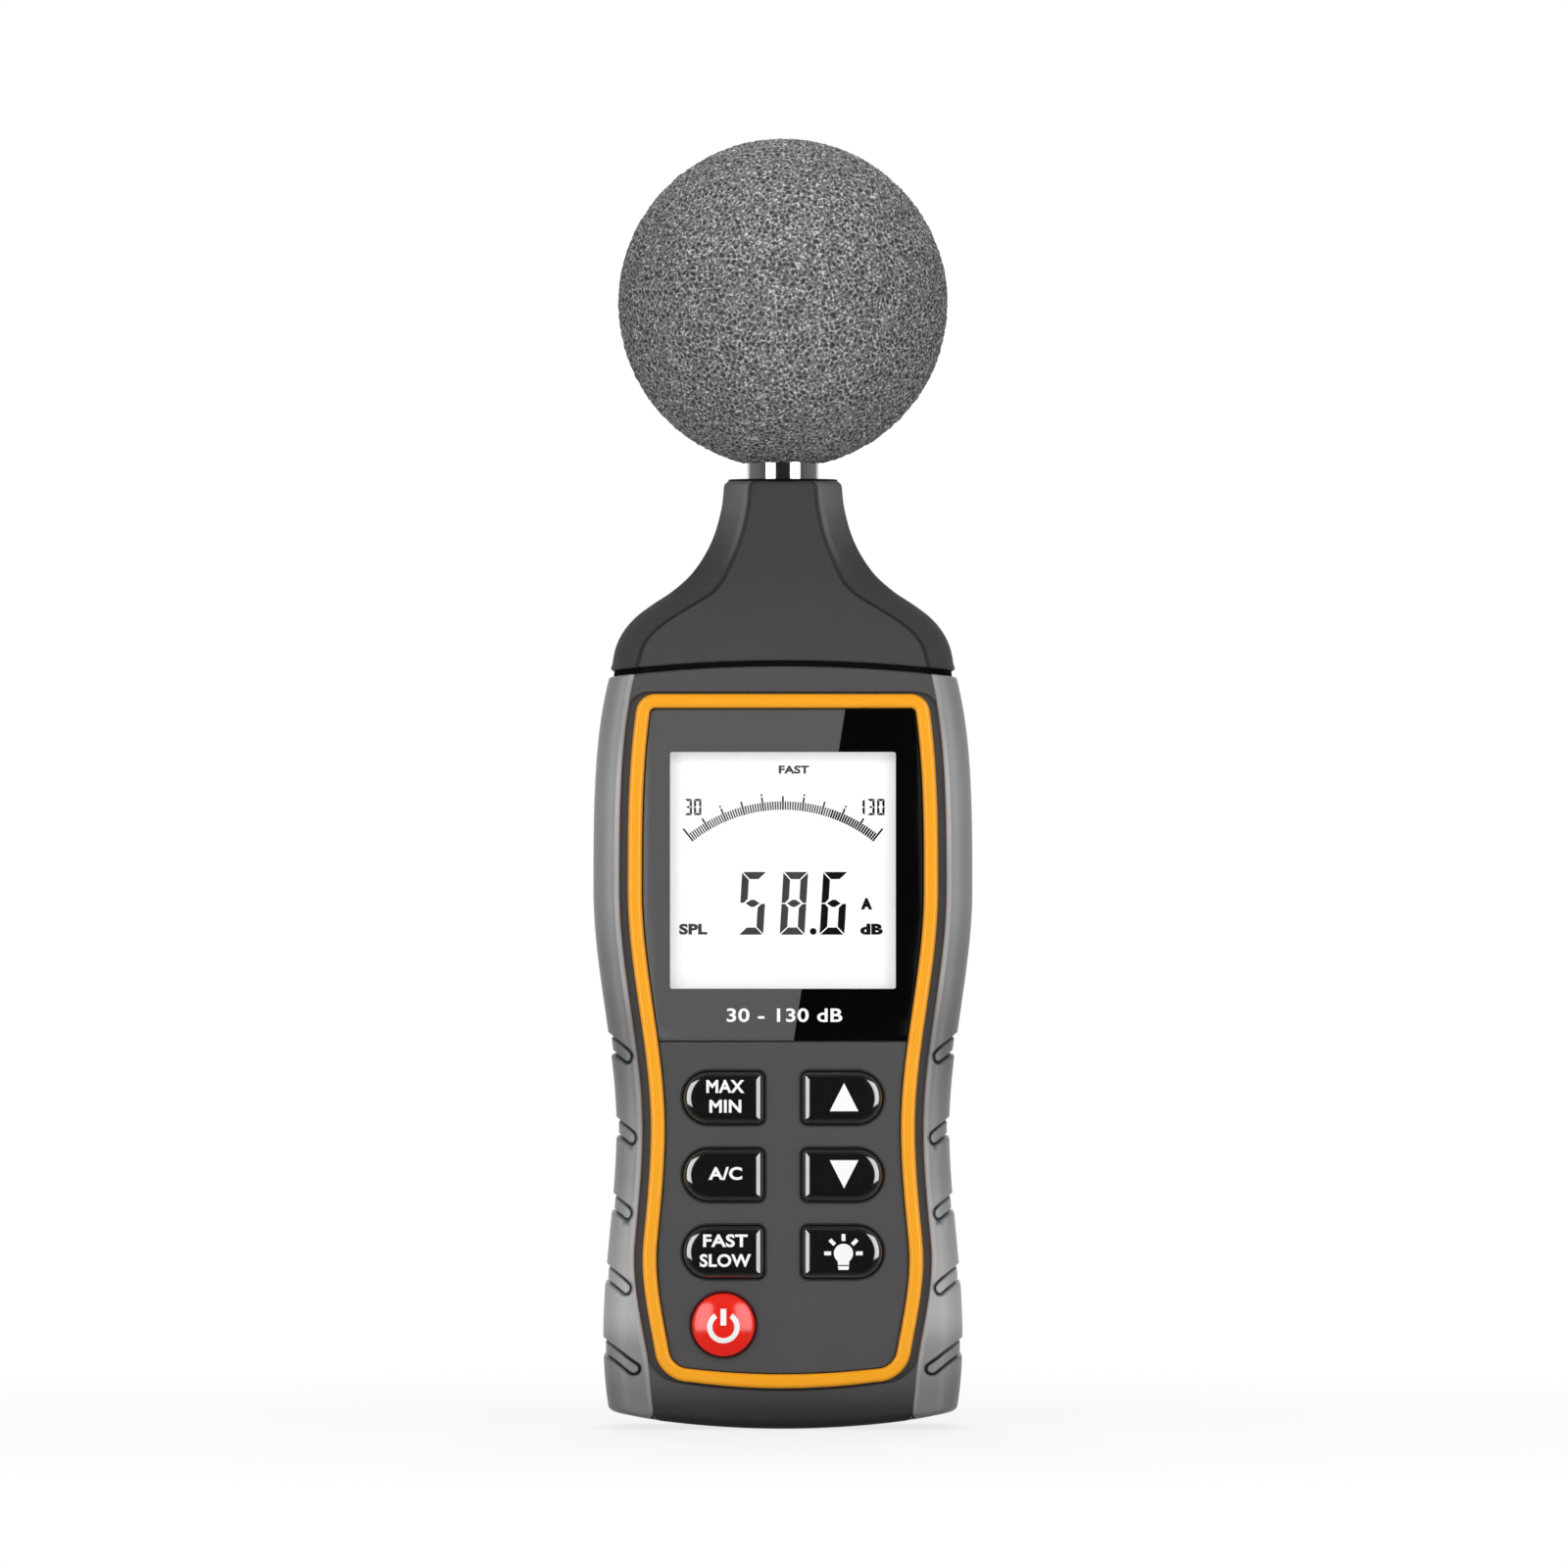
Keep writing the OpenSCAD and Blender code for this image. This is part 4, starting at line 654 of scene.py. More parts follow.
# Each finish's material name, colour or colour setting, roughness, and what else sets it apart.
DULL, MATT = {"Specular_IOR_Level": 0.35}, {"Specular_IOR_Level": 0.1}
METAL = {"Metallic": 1.0}
FINISHES = {
    "case": ("case_plastic", "case", 0.48, dict(depth=0.018, **DULL)),
    "head": ("head_plastic", "head", 0.42, dict(depth=0.015, Specular_IOR_Level=0.15)),
    "grip": ("grip_rubber", "grip", 0.42, dict(grain=0.22, depth=0.01, cloud=14, **DULL)),
    # The grip_edge finish is a painted highlight: the grips' own rubber, painted 1.55 times lighter on their
    # inner chamfer.
    "grip_edge": ("grip_edge", "grip", 0.3, dict(bright=1.55, grain=0.22, depth=0.008)),
    "seal": ("seam_rubber", (0.003, 0.003, 0.003), 0.8, dict(depth=0.01, **MATT)),
    "trim": ("trim_plastic", "trim", 0.34, dict(depth=0.006, mottle=0.03, Coat_Weight=0.25)),
    # The lens: grey is a painted reflection left of the slant, black is its print.
    "lens_grey": ("lens_grey", "print_grey", 0.16, dict(depth=0.001, mottle=0.03)),
    "lens_black": ("lens_black", "print_black", 0.1, dict(depth=0.001, **MATT)),
    "window": (
        "window",
        (0.02, 0.02, 0.02),
        0.04,
        dict(depth=0.0005, mottle=0, gloss_change=0.02, Alpha=0.06),
    ),
    # The display glows: painted light that keeps its ground white and fills the shade of its window.
    "display": (
        "display",
        "display",
        0.5,
        dict(depth=0.002, mottle=0.012, cloud=6, Emission_Color=(1, 1, 1, 1), Emission_Strength=0.42),
    ),
    # Grey segments are a painted reflection over black ones.
    "segment_grey": ("segment_grey", "segment_grey", 0.5, dict(depth=0.001)),
    "segment_black": ("segment_black", "segment_black", 0.5, dict(depth=0.001, **MATT)),
    "key": (
        "key_plastic",
        "key",
        0.14,
        dict(grain=0.5, depth=0.002, Specular_IOR_Level=1, Coat_Weight=1, Coat_Roughness=0.06, Coat_IOR=2.6),
    ),
    "legend": ("legend_ink", "legend", 0.5, dict(depth=0.003, mottle=0.02)),
    "power": (
        "power_plastic",
        "power",
        0.2,
        dict(depth=0.002, mottle=0.05, Specular_IOR_Level=0.8, Coat_Weight=0.6, Coat_Roughness=0.1),
    ),
    "foam": (
        "foam",
        "foam",
        0.95,
        dict(grain=0.6, depth=0.2, cloud=0.45, Specular_IOR_Level=0.15),
    ),
    "chrome": ("mic_chrome", (0.8, 0.8, 0.82), 0.08, dict(depth=0.001, mottle=0.02, **METAL)),
    "nickel": ("mic_nickel", (0.66, 0.65, 0.62), 0.24, dict(depth=0.004, mottle=0.04, **METAL)),
    "steel": ("screw_steel", (0.56, 0.56, 0.57), 0.3, dict(depth=0.006, mottle=0.08, **METAL)),
    "brass": ("turned_brass", (0.78, 0.55, 0.22), 0.28, dict(depth=0.006, mottle=0.08, **METAL)),
    "silicone": ("keypad_rubber", (0.45, 0.45, 0.42), 0.55, dict(depth=0.01)),
    "white": ("white_plastic", (0.75, 0.75, 0.72), 0.45, dict(depth=0.01)),
    "ptfe": ("mic_ptfe", (0.82, 0.82, 0.8), 0.4, dict(depth=0.01)),
    "board": ("board_mask", (0.02, 0.16, 0.07), 0.35, dict(depth=0.008, mottle=0.15, cloud=2)),
    "chip": ("chip_plastic", (0.02, 0.02, 0.022), 0.6, dict(depth=0.012)),
    "can": ("can_aluminium", (0.72, 0.72, 0.73), 0.32, dict(depth=0.006, **METAL)),
    "jacket": ("cell_jacket", (0.018, 0.05, 0.085), 0.3, dict(depth=0.004, mottle=0.1, Coat_Weight=0.3)),
    "wire": ("wire_pvc", (0.45, 0.02, 0.015), 0.4, dict(depth=0.008)),
    "cable": ("cable_film", (0.7, 0.7, 0.68), 0.4, dict(depth=0.008, mottle=0.1, cloud=1)),
    "strip": ("strip_rubber", (0.1, 0.1, 0.11), 0.6, dict(mottle=0.5, cloud=0.3)),
}
MADE = {}


def finish(name):
    """The named finish, made once."""
    if name not in MADE:
        title, colour, roughness, details = FINISHES[name]
        if isinstance(colour, str):
            colour = getattr(bpy.context.scene.meter_colours, colour)
        MADE[name] = surface(title, colour, roughness, **details)
        for change, *values in CHANGES.get(name, ()):
            change(MADE[name], *values)
    return MADE[name]


def mark(obj, layer, points, values):
    """Keeps on a mesh, under a layer's name, the value that belongs to the nearest of some points."""
    points, values = np.reshape(points, (-1, 3)), np.ravel(values)
    near = KDTree(len(points))
    for i, point in enumerate(points):
        near.insert(point, i)
    near.balance()
    marks = obj.data.attributes.new(layer, "FLOAT", "POINT")
    for vertex, entry in zip(obj.data.vertices, marks.data):
        entry.value = values[near.find(vertex.co)[1]]


# ---- Shells ----------------------------------------------------------------


def face_of(node):
    """A node seen from the front: its middle across and up from the foot, its width and its height."""
    low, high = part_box(node)
    return (low.x + high.x) / 2, (low.z + high.z) / 2 - FOOT, high.x - low.x, high.z - low.z


def site(node):
    """Middle of a node, across and up from the foot."""
    low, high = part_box(node)
    middle = (low + high) / 2
    return middle.x, middle.z - FOOT


def corner(w, d, cw, cd, full, steps):
    """Half profile's corner, from the side to the front: round where full is 1, a bevel where it is 0."""
    t = np.linspace(0, 1, steps + 1)
    angle = t * math.pi / 2
    across = w - cw * mix(t, 1 - np.cos(angle), full)
    return np.stack([across, -(d - cd) - cd * mix(t, np.sin(angle), full)], axis=1)


def raised(loop, h):
    """An outline, across and back from the middle, at a height and with the bow there."""
    z = h + shape().lift(h, loop[:, 0])
    return np.stack([loop[:, 0], loop[:, 1] + DEPTH / 2, z], axis=1)


def ring_at(half, h):
    """A shell's ring at a height, from its right half profile, side to front."""
    x = half[-1][0] * (2 * np.arange(FLAT_STEPS) + 1 - FLAT_STEPS) / FLAT_STEPS
    front = np.stack([x, np.full(FLAT_STEPS, half[-1][1])], axis=1)
    return raised(np.concatenate([half * np.array([-1, 1]), front, half[::-1]]), h)


def rounded_levels(start, end, r, r_end, count):
    """Heights from start to end with closer steps along a rounding at each end, and the insets there."""
    way = 1 if end > start else -1
    low = [(start + way * r * (1 - math.cos(a)), r * (1 - math.sin(a))) for a in TURN]
    middle = [(h, 0.0) for h in np.linspace(start + way * r, end - way * r_end, count)]
    high = [(end - way * r_end * (1 - math.sin(a)), r_end * (1 - math.cos(a))) for a in TURN + TURN[1]]
    return low + middle + high


def tray(name, outer, inner, back):
    """A half shell from rings of outer and inner points: closed at its first ring, open at its last."""
    outer, inner = np.asarray(outer), np.asarray(inner)
    rows, n = outer.shape[:2]
    grid = rows * n
    floors = []
    for rings in (outer, inner):
        base = rings[0][2 : n - 2].copy()
        base[:, 1] = DEPTH / 2
        floors.append(base)
    points = np.concatenate([outer.reshape(-1, 3), inner.reshape(-1, 3), *floors])

    def at(k, j, i):
        return k * grid + j * n + i

    def foot(k, i):
        if i == 1:
            return at(k, 0, 0)
        return at(k, 0, n - 1) if i == n - 2 else 2 * grid + k * (n - 4) + i - 2

    faces = []
    for k in (0, 1):
        faces += [
            (at(k, j, i), at(k, j + 1, i), at(k, j + 1, i + 1), at(k, j, i + 1))
            for j in range(rows - 1)
            for i in range(n - 1)
        ]
        faces += [(at(k, 0, i), at(k, 0, i + 1), foot(k, i + 1), foot(k, i)) for i in range(1, n - 2)]
    for i in (0, n - 1):
        faces += [(at(1, j, i), at(1, j + 1, i), at(0, j + 1, i), at(0, j, i)) for j in range(rows - 1)]
    faces += [(foot(0, i + 1), foot(1, i + 1), foot(1, i), foot(0, i)) for i in range(1, n - 2)]
    top = rows - 1
    faces += [(at(0, top, i), at(1, top, i), at(1, top, i + 1), at(0, top, i + 1)) for i in range(n - 1)]
    if back:
        points[:, 1] = DEPTH - points[:, 1]
    return make(name, place(points), faces)


def case_tray(name, back):
    """Half of the case, front or back: its sides stand in by the grips' thickness."""
    s = shape()

    def profile(h, inset, thick):
        edge = float(s.grip_edge(h)) - thick - inset
        w = float(s.case_half(h)) - s.grip_t - thick - inset
        d = DEPTH / 2 - s.grip_t - thick - inset
        # Inside, the corner is less deep, which keeps the wall nearly even round it.
        depth = s.edge_d - s.grip_t - (MM if thick else 0)
        bend = corner(w, d, w - (edge + STEP_DRAFT), depth, 1, ROUND_STEPS)
        return np.concatenate([[[w, 0]], bend, [[edge, -(d + s.grip_t)]]])

    levels = rounded_levels(0, CASE_TOP, s.foot_r, s.seam_r, 96)
    outer = [ring_at(profile(h, inset, 0), h) for h, inset in levels]
    heights = [mix(s.wall, CASE_TOP, h / CASE_TOP) for h, _ in levels]
    return tray(name, outer, [ring_at(profile(h, 0, s.wall), h) for h in heights], back)


def head_profile(h, thick=0.0, inset=0.0, even=False):
    """Right half of the head's outline at a height, from the side to the front.

    The bevel is as wide along the slope as on the straight, or evenly wide across.
    A fine line runs along it, and above the seam the head stands in by a small lip.
    """
    s = shape()
    lip, lip_h, step = 0.15 * MM, 0.5 * MM, 3.5 * MM
    sunk = lip * float(ease((h - HEAD_FOOT) / lip_h - 1))
    w = float(s.head_half(h)) - thick - inset - sunk
    d = float(s.head_half_t(h)) - thick - inset - sunk
    slope = (float(s.head_half(h + step)) - float(s.head_half(h - step))) / (2 * step)
    bevel_w = s.bevel_w if even else s.bevel_w * math.hypot(1, slope)
    bevel_d = mix(s.edge_d, s.bevel_d, float(s.narrowing(h)))
    drawn_in, roundness = 0.6 * MM if thick else 0, 0.35
    bevel = corner(w, d, bevel_w - drawn_in, bevel_d - drawn_in, roundness, BEVEL_STEPS)
    line_w, line_d = 0.85 * MM, 0 if thick else 0.3 * MM
    line = ((0.25, 0.8), (0.55, 1), (1, 0))
    notch = [[bevel[-1][0] - line_w * across, line_d * deep - d] for across, deep in line]
    return np.concatenate([[[w, 0]], bevel, notch])


def head_rings(back):
    """Outer rings of half of the head, front side out, with the height and the inset of each."""
    s = shape()
    levels = rounded_levels(COLLAR, HEAD_FOOT, s.collar_r, s.seam_r, 90)
    return levels, [ring_at(head_profile(h, inset=inset, even=back), h) for h, inset in levels]


def head_tray(name, back):
    """Half of the head, front or back."""
    s = shape()
    levels, outer = head_rings(back)
    heights = [mix(HEAD_FOOT, COLLAR - s.wall, share(h, HEAD_FOOT, COLLAR)) for h, _ in levels]
    return tray(name, outer, [ring_at(head_profile(h, s.wall), h) for h in heights], back)


def mark_head(head, back):
    """Keeps on a head shell where shade is painted in its line, and where a painted highlight lightens its
    bevel below the collar.
    """
    levels, rings = head_rings(back)
    # Heights in mm above the foot where the painted highlight on the bevel grows, and the point of a ring
    # that the bevel ends at.
    heights = [156, 160, 165, 168, 172]
    edge = 1 + BEVEL_STEPS
    lines, highlights = [], []
    for (h, _), ring in zip(levels, rings):
        line, rim = np.zeros(len(ring)), np.zeros(len(ring))
        # Painted shade in the line: full below 152 mm, half from 160 mm up.
        dark = np.interp(h / MM, [152, 160], [1, 0.5])
        # Painted highlight on the bevel, stronger on its inner edge, growing towards the collar.
        bevel_highlight = np.interp(h / MM, heights, [0, 0.15, 0.5, 0.8, 0.9])
        edge_highlight = np.interp(h / MM, heights, [0, 0.5, 0.9, 1, 1])
        for side in (1, -1):
            line[::side][edge : edge + 3] = np.array([0.3, 0.9, 1]) * dark
            rim[::side][1 : edge + 1] = bevel_highlight
            rim[::side][edge - 1 : edge + 1] = edge_highlight
        lines.append(line)
        highlights.append(rim)
    points = place(np.array(rings))
    if back:
        points = points * np.array([1, -1, 1]) + np.array([0, BACK + FRONT, 0])
    mark(head, "groove", points, lines)
    # The "rim" layer is a painted highlight.
    mark(head, "rim", points, highlights)


def seam_band():
    """The seal that shows as a dark line along the seam."""
    rings = []
    for h, inset in ((CASE_TOP, 0.7), (HEAD_FOOT, 0.7), (HEAD_FOOT, 1.8), (CASE_TOP, 1.8)):
        front = ring_at(head_profile(h, inset=inset * MM), h)
        back = front[::-1][1:-1] * np.array([1, -1, 1]) + np.array([0, DEPTH, 0])
        rings.append(place(np.concatenate([front, back])))
    return hoop("seam_band", rings)


# The side that each key lies on.
KEYS = {
    "key_max_min": -1,
    "key_weighting": -1,
    "key_response": -1,
    "key_up": 1,
    "key_down": 1,
    "key_light": 1,
}


def button_r():
    """Radius of the power button above its flange."""
    return face_of("power_button")[2] / 2 - 0.8 * MM


def window_outline():
    """The display window's outline, as a function of how far it grows."""
    s = shape()
    return round_rect(0, s.window_z, s.window_w, s.window_h, WINDOW_R)


def trim_seat_cutter():
    """The channel that the trim sits in: it reaches the grips at the sides."""
    s = shape()
    outside = (-0.45 * MM, -s.rim_w - 0.16 * MM)
    inside = (s.trim_w + 0.22 * MM, None)
    levels = [(-MM, outside), (s.trim_seat, outside), (s.trim_seat, inside), (-MM, inside)]
    return hoop("cut", [upright(trim_outline(*insets), depth) for depth, insets in levels])


def key_hole(outline):
    """A key's hole: it widens to a chamfer at the front."""
    gap, chamfer, through = shape().key_gap, 0.35 * MM, 4 * MM
    levels = [(-MM, gap + chamfer), (0, gap + chamfer), (chamfer, gap), (through, gap)]
    return stack("cut", outline, levels)


def back_hole(outline, floor, growth=0):
    """A hole from its floor to the back, where it widens to a chamfer."""
    wide = growth + BACK_CHAMFER
    levels = [(floor, growth), (DEPTH - BACK_CHAMFER, growth), (DEPTH, wide), (DEPTH + MM, wide)]
    return stack("cut", outline, levels)


def screw_sites(node):
    """Middle of each screw's head in a node of several screws, across and up from the foot."""
    points = np.array([v.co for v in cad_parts[node].data.vertices])
    sites = []
    for sx in (-1, 1):
        side = points[points[:, 0] * sx > 0]
        bottom, top = side[:, 2].min(), side[:, 2].max()
        split = (bottom + top) / 2
        two_rows = top - bottom > 10 * MM
        groups = [side[side[:, 2] < split], side[side[:, 2] >= split]] if two_rows else [side]
        for group in groups:
            low, high = group.min(0), group.max(0)
            sites.append(((low[0] + high[0]) / 2, (low[2] + high[2]) / 2 - FOOT))
    return sites


class METER_OT_front_case(bpy.types.Operator):
    """Build the front half of the case, with its seats and holes"""

    bl_idname = "meter.front_case"
    bl_label = "Front Case"

    def execute(self, context):
        case = case_tray("case_front", back=False)
        low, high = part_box("display_lens")
        play, rim, through = 0.05 * MM, 0.4 * MM, 3 * MM
        recess = stack("cut", lens_outline(low.z - FOOT), [(-MM, play), (high.y - FRONT, play)])
        window = stack("cut", window_outline(), [(0, rim), (through, rim)])
        holes = [key_hole(key_outline(side, *site(node))) for node, side in KEYS.items()]
        holes.append(key_hole(disc(*site("power_button"), button_r())))
        combine(case, [trim_seat_cutter(), recess, window, *holes])
        dress(case, ["case"], "meter", "case_plastic", "front_case")
        return {"FINISHED"}


class METER_OT_rear_case(bpy.types.Operator):
    """Build the rear half of the case, with the battery compartment and the screw wells"""

    bl_idname = "meter.rear_case"
    bl_label = "Rear Case"

    def execute(self, context):
        case = case_tray("case_rear", back=True)
        door, screw = face_of("battery_door"), site("door_screw")
        springs_low, springs_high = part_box("contact_springs")
        bay_wall, lip = 1.6 * MM, 2.4 * MM
        half = door[2] / 2 + DOOR_GAP - lip - bay_wall
        floor_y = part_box("battery_left")[0].y - DOOR_GAP

        def bay(name, grow, top):
            """The battery compartment as a block that grows on every side but its open top."""
            low = (-half - grow, floor_y - grow, springs_low.z - grow)
            return box(name, low, (half + grow, top, springs_high.z + grow))

        frame_w, frame_t, frame_r = 1.3 * MM, 3.4 * MM, 3 * MM
        frame_levels = [(DEPTH - frame_t, frame_w), (DEPTH - MM, frame_w)]
        plate = stack("part", round_rect(*door, frame_r), frame_levels)
        socket_r, socket_d = face_of("tripod_insert")[2] / 2, 8 * MM
        boss_r, boss_d = socket_r + 2 * MM, 10 * MM
        boss = stack("part", disc(0, -FOOT, boss_r), [(DEPTH - boss_d, 0), (DEPTH - MM, 0)])
        combine(case, [bay("part", bay_wall, BACK - MM), plate, boss], "UNION")
        recess = back_hole(round_rect(*door, DOOR_R), DEPTH - DOOR_T, DOOR_GAP)
        cup_r, cup_d, pilot_d = 3.7 * MM, 2.8 * MM, 12 * MM
        cup = stack("cut", disc(*screw, cup_r), [(DEPTH - DOOR_T - cup_d, 0), (DEPTH, 0)])
        pilot = stack("cut", disc(*screw, PILOT_R, 48), [(DEPTH - pilot_d, 0), (DEPTH, 0)])
        socket = back_hole(disc(0, -FOOT, socket_r), DEPTH - socket_d)
        sites = screw_sites("case_screws")
        wells = [back_hole(disc(x, z, WELL_R, 64), DEPTH / 2 + WELL_FLOOR) for x, z in sites]
        label_z, label_w, label_h, label_r, sunk = 110 * MM, 38 * MM, 24 * MM, 2 * MM, 0.3 * MM
        label_outline = round_rect(0, label_z, label_w, label_h, label_r)
        label = stack("cut", label_outline, [(DEPTH - sunk, 0), (DEPTH + MM, sunk)])
        combine(case, [recess, bay("cut", 0, BACK + MM), cup, pilot, socket, *wells, label])
        dress(case, ["case"], "meter", "case_plastic", "rear_case")
        return {"FINISHED"}


class METER_OT_head(bpy.types.Operator):
    """Build both shells of the tapered head"""

    bl_idname = "meter.head"
    bl_label = "Head"

    def execute(self, context):
        shells = (("head_shell_front", "head_front", False), ("head_shell_rear", "head_rear", True))
        for name, node, back in shells:
            head = head_tray(name, back)
            bore_d = 4 * MM
            bore = [(BUSH_R, COLLAR - bore_d), (BUSH_R, COLLAR + MM)]
            cutters = [lathe("cut", bore, (0, MIDDLE, FOOT))]
            if back:
                levels = [(DEPTH / 2 + WELL_FLOOR, 0), (DEPTH + MM, 0)]
                sites = screw_sites("head_screws")
                cutters += [stack("cut", disc(x, z, WELL_R, 64), levels) for x, z in sites]
            combine(head, cutters)
            mark_head(head, back)
            dress(head, ["head"], "meter", "head_plastic", node)
        dress(seam_band(), ["seal"], "meter", "seal_rubber", "seam_seal")
        return {"FINISHED"}


# ---- Grips -----------------------------------------------------------------


class METER_OT_grips(bpy.types.Operator):
    """Build both soft grips, with their slanted grooves"""

    bl_idname = "meter.grips"
    bl_label = "Grips"

    # Height of each groove's inner end above the foot, and its distance from the side, in mm.
    grooves = ((10.5, 5.4), (25.6, 3.7), (39.2, 2.6), (52.9, 2.5), (67.7, 2.7))
    foot = 0.3 * MM
    round_r = 1.3 * MM

    def depth_at(self, x, h):
        """How deep the grooves are at points across and up, and how far each is in their edge lines, where
        shade is painted.
        """
        s = shape()
        along = np.array([math.cos(s.groove_angle), math.sin(s.groove_angle)])
        reach, blend, line_w, line_d = 14 * MM, 0.25 * MM, 0.35 * MM, 0.65 * MM
        depth, shade = np.zeros_like(x), np.zeros_like(x)
        for height, distance in self.grooves:
            dx = x - (float(s.case_half(height * MM)) - distance * MM)
            dz = h - height * MM
            t = clamp(dx * along[0] + dz * along[1], 0, reach)
            gap = np.hypot(dx - t * along[0], dz - t * along[1]) - s.groove_w / 2
            floor = s.groove_d * ease(0.5 - gap / blend)
            line = clamp(1.8 * (1 - abs(gap + line_w) / line_w))
            depth, shade = np.maximum(depth, floor + line_d * line), np.maximum(shade, line)
        return depth, shade

    def outer(self, h, inset):
        """Front half of a grip's outer profile, from the side's middle to the inner edge."""
        s = shape()
        w, d = float(s.case_half(h)) - inset, DEPTH / 2 + s.grip_rise - inset
        edge = float(s.grip_edge(h))
        inner_x = edge + s.grip_chamfer
        edge_w = min(s.grip_band - 0.3 * MM, w - inner_x - 0.1 * MM)
        side_steps, bend_steps, front_steps, chamfer_steps = 10, 32, 18, 6
        side_y = np.linspace(0, -(d - s.edge_d), side_steps + 1)[:-1]
        side = np.stack([np.full(side_steps, w), side_y], axis=1)
        bend = corner(w, d, edge_w, s.edge_d, 1, bend_steps)
        flat_x = np.linspace(w - edge_w, inner_x, front_steps + 1)[1:]
        front = np.stack([flat_x, np.full(front_steps, -d)], axis=1)
        # The chamfer falls slowly at first, and past its brink steeply to just below the case.
        rise, brink, slow, steep = s.grip_rise + 0.15 * MM, 0.7, 0.35, 2.5
        turn = np.linspace(0, 1, chamfer_steps + 1)[1:]
        fall = np.where(turn < brink, slow * turn, slow * brink + (turn - brink) * steep)
        chamfer = np.stack([mix(flat_x[-1], edge + inset / 2, turn), -d + rise * fall], axis=1)
        return np.concatenate([side, bend, front, chamfer])

    def ring(self, h, inset):
        """A grip's closed outline at a height, and how far each of its points is in an edge line, for the
        painted shade there.
        """
        s = shape()
        half = self.outer(h, inset)
        tangent = np.gradient(half, axis=0)
        normal = np.stack([-tangent[:, 1], tangent[:, 0]], axis=1)
        normal /= np.linalg.norm(normal, axis=1, keepdims=True)
        depth, shade = self.depth_at(half[:, 0], np.full(len(half), h))
        half = half - normal * depth[:, None]
        w, d = float(s.case_half(h)) - s.grip_t, DEPTH / 2 - s.grip_t
        low = float(s.grip_edge(h)) + STEP_DRAFT
        inside = np.concatenate([[[w, 0]], corner(w, d, w - low, s.edge_d - s.grip_t, 1, ROUND_STEPS)])
        front = np.concatenate([half, inside[::-1]])
        back = (front * np.array([1, -1]))[::-1][1:-1]
        shade = np.concatenate([shade, np.zeros(len(inside))])
        return np.concatenate([front, back]), np.concatenate([shade, shade[::-1][1:-1]])

    def levels(self):
        """Heights of the rings and the insets there: close together where a groove's end turns."""
        foot, round_r, seam_r = self.foot, self.round_r, shape().seam_r
        fine, coarse = 0.14 * MM, 1.0 * MM
        # How far the fine rings reach below and above a groove's inner end, in mm.
        below, above = 2.2, 2.6
        heights = [foot + round_r]
        while heights[-1] < CASE_TOP - seam_r - coarse:
            last = heights[-1] / MM
            near = any(low - below <= last <= low + above + out for low, out in self.grooves)
            heights.append(heights[-1] + (fine if near else coarse))
        start = [(foot + round_r * (1 - math.cos(a)), round_r * (1 - math.sin(a))) for a in TURN]
        end = [(CASE_TOP - seam_r * (1 - math.sin(a)), seam_r * (1 - math.cos(a))) for a in TURN]
        return [*start, *[(h, 0.0) for h in heights], *end]

    def execute(self, context):
        s = shape()
        rings, shades = [], []
        for h, inset in self.levels():
            loop, shade = self.ring(h, inset)
            shades.append(shade)
            rings.append(raised(loop, h))
        for name, node, side in (("grip_skin_right", "grip_right", 1), ("grip_skin_left", "grip_left", -1)):
            points = place(rings) * np.array([side, 1, 1])
            grip = skin(name, points, smooth=50)
            # The "groove" layer marks where shade is painted along the grooves' edge lines.
            mark(grip, "groove", points, shades)
            dress(grip, ["grip", "grip_edge"], "meter", "grip_rubber", node)
            # The chamfer along each grip's inner edge takes the grip_edge finish, a painted highlight.
            for face in grip.data.polygons:
                middle = face.center
                inner = abs(middle.x) - float(s.grip_edge(middle.z - FOOT)) < 0.8 * s.grip_chamfer
                face.material_index = int(inner and min(middle.y - FRONT, BACK - middle.y) < 0.1 * MM)
        return {"FINISHED"}


# ---- Front -----------------------------------------------------------------


class METER_OT_trim(bpy.types.Operator):
    """Build the rounded trim around the front"""

    bl_idname = "meter.trim"
    bl_label = "Trim"

    def execute(self, context):
        s = shape()
        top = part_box("trim_ring")[0].y - FRONT
        play, bead = 0.02 * MM, 0.8 * MM
        turn = np.linspace(math.pi / 2, 0, 7)
        outside = [(play + bead * (1 - math.sin(a)), top + bead * (1 - math.cos(a))) for a in turn]
        inside = [(s.trim_w - inset, depth) for inset, depth in outside[::-1]]
        profile = [(play, s.trim_seat), *outside, *inside, (s.trim_w - play, s.trim_seat)]
        trim = hoop("trim_bead", [upright(trim_outline(inset), depth) for inset, depth in profile])
        dress(trim, ["trim"], "meter", "trim_plastic", "trim_ring")
        return {"FINISHED"}


def glare_edge_x(h):
    """Where the slanted edge of the painted reflection on the lens and display lies at a height above the
    foot.
    """
    return mix(1.9 * MM, 11.3 * MM, share(h, 70.3 * MM, 130.7 * MM))


def split_at_glare(obj):
    """Cuts a flat piece along the slanted edge of the painted reflection, and gives what is right of it the
    second material.
    """
    low, high = 100 * MM, 101 * MM
    at = Vector((glare_edge_x(low), 0, low + FOOT))
    up = Vector((glare_edge_x(high) - glare_edge_x(low), 0, MM))
    normal = Vector((up.z, 0, -up.x)).normalized()
    with edited(obj.data) as work:
        everything = [*work.verts, *work.edges, *work.faces]
        bmesh.ops.bisect_plane(work, geom=everything, plane_co=at, plane_no=normal)
        for face in work.faces:
            face.material_index = int((face.calc_center_median() - at).dot(normal) > 0)


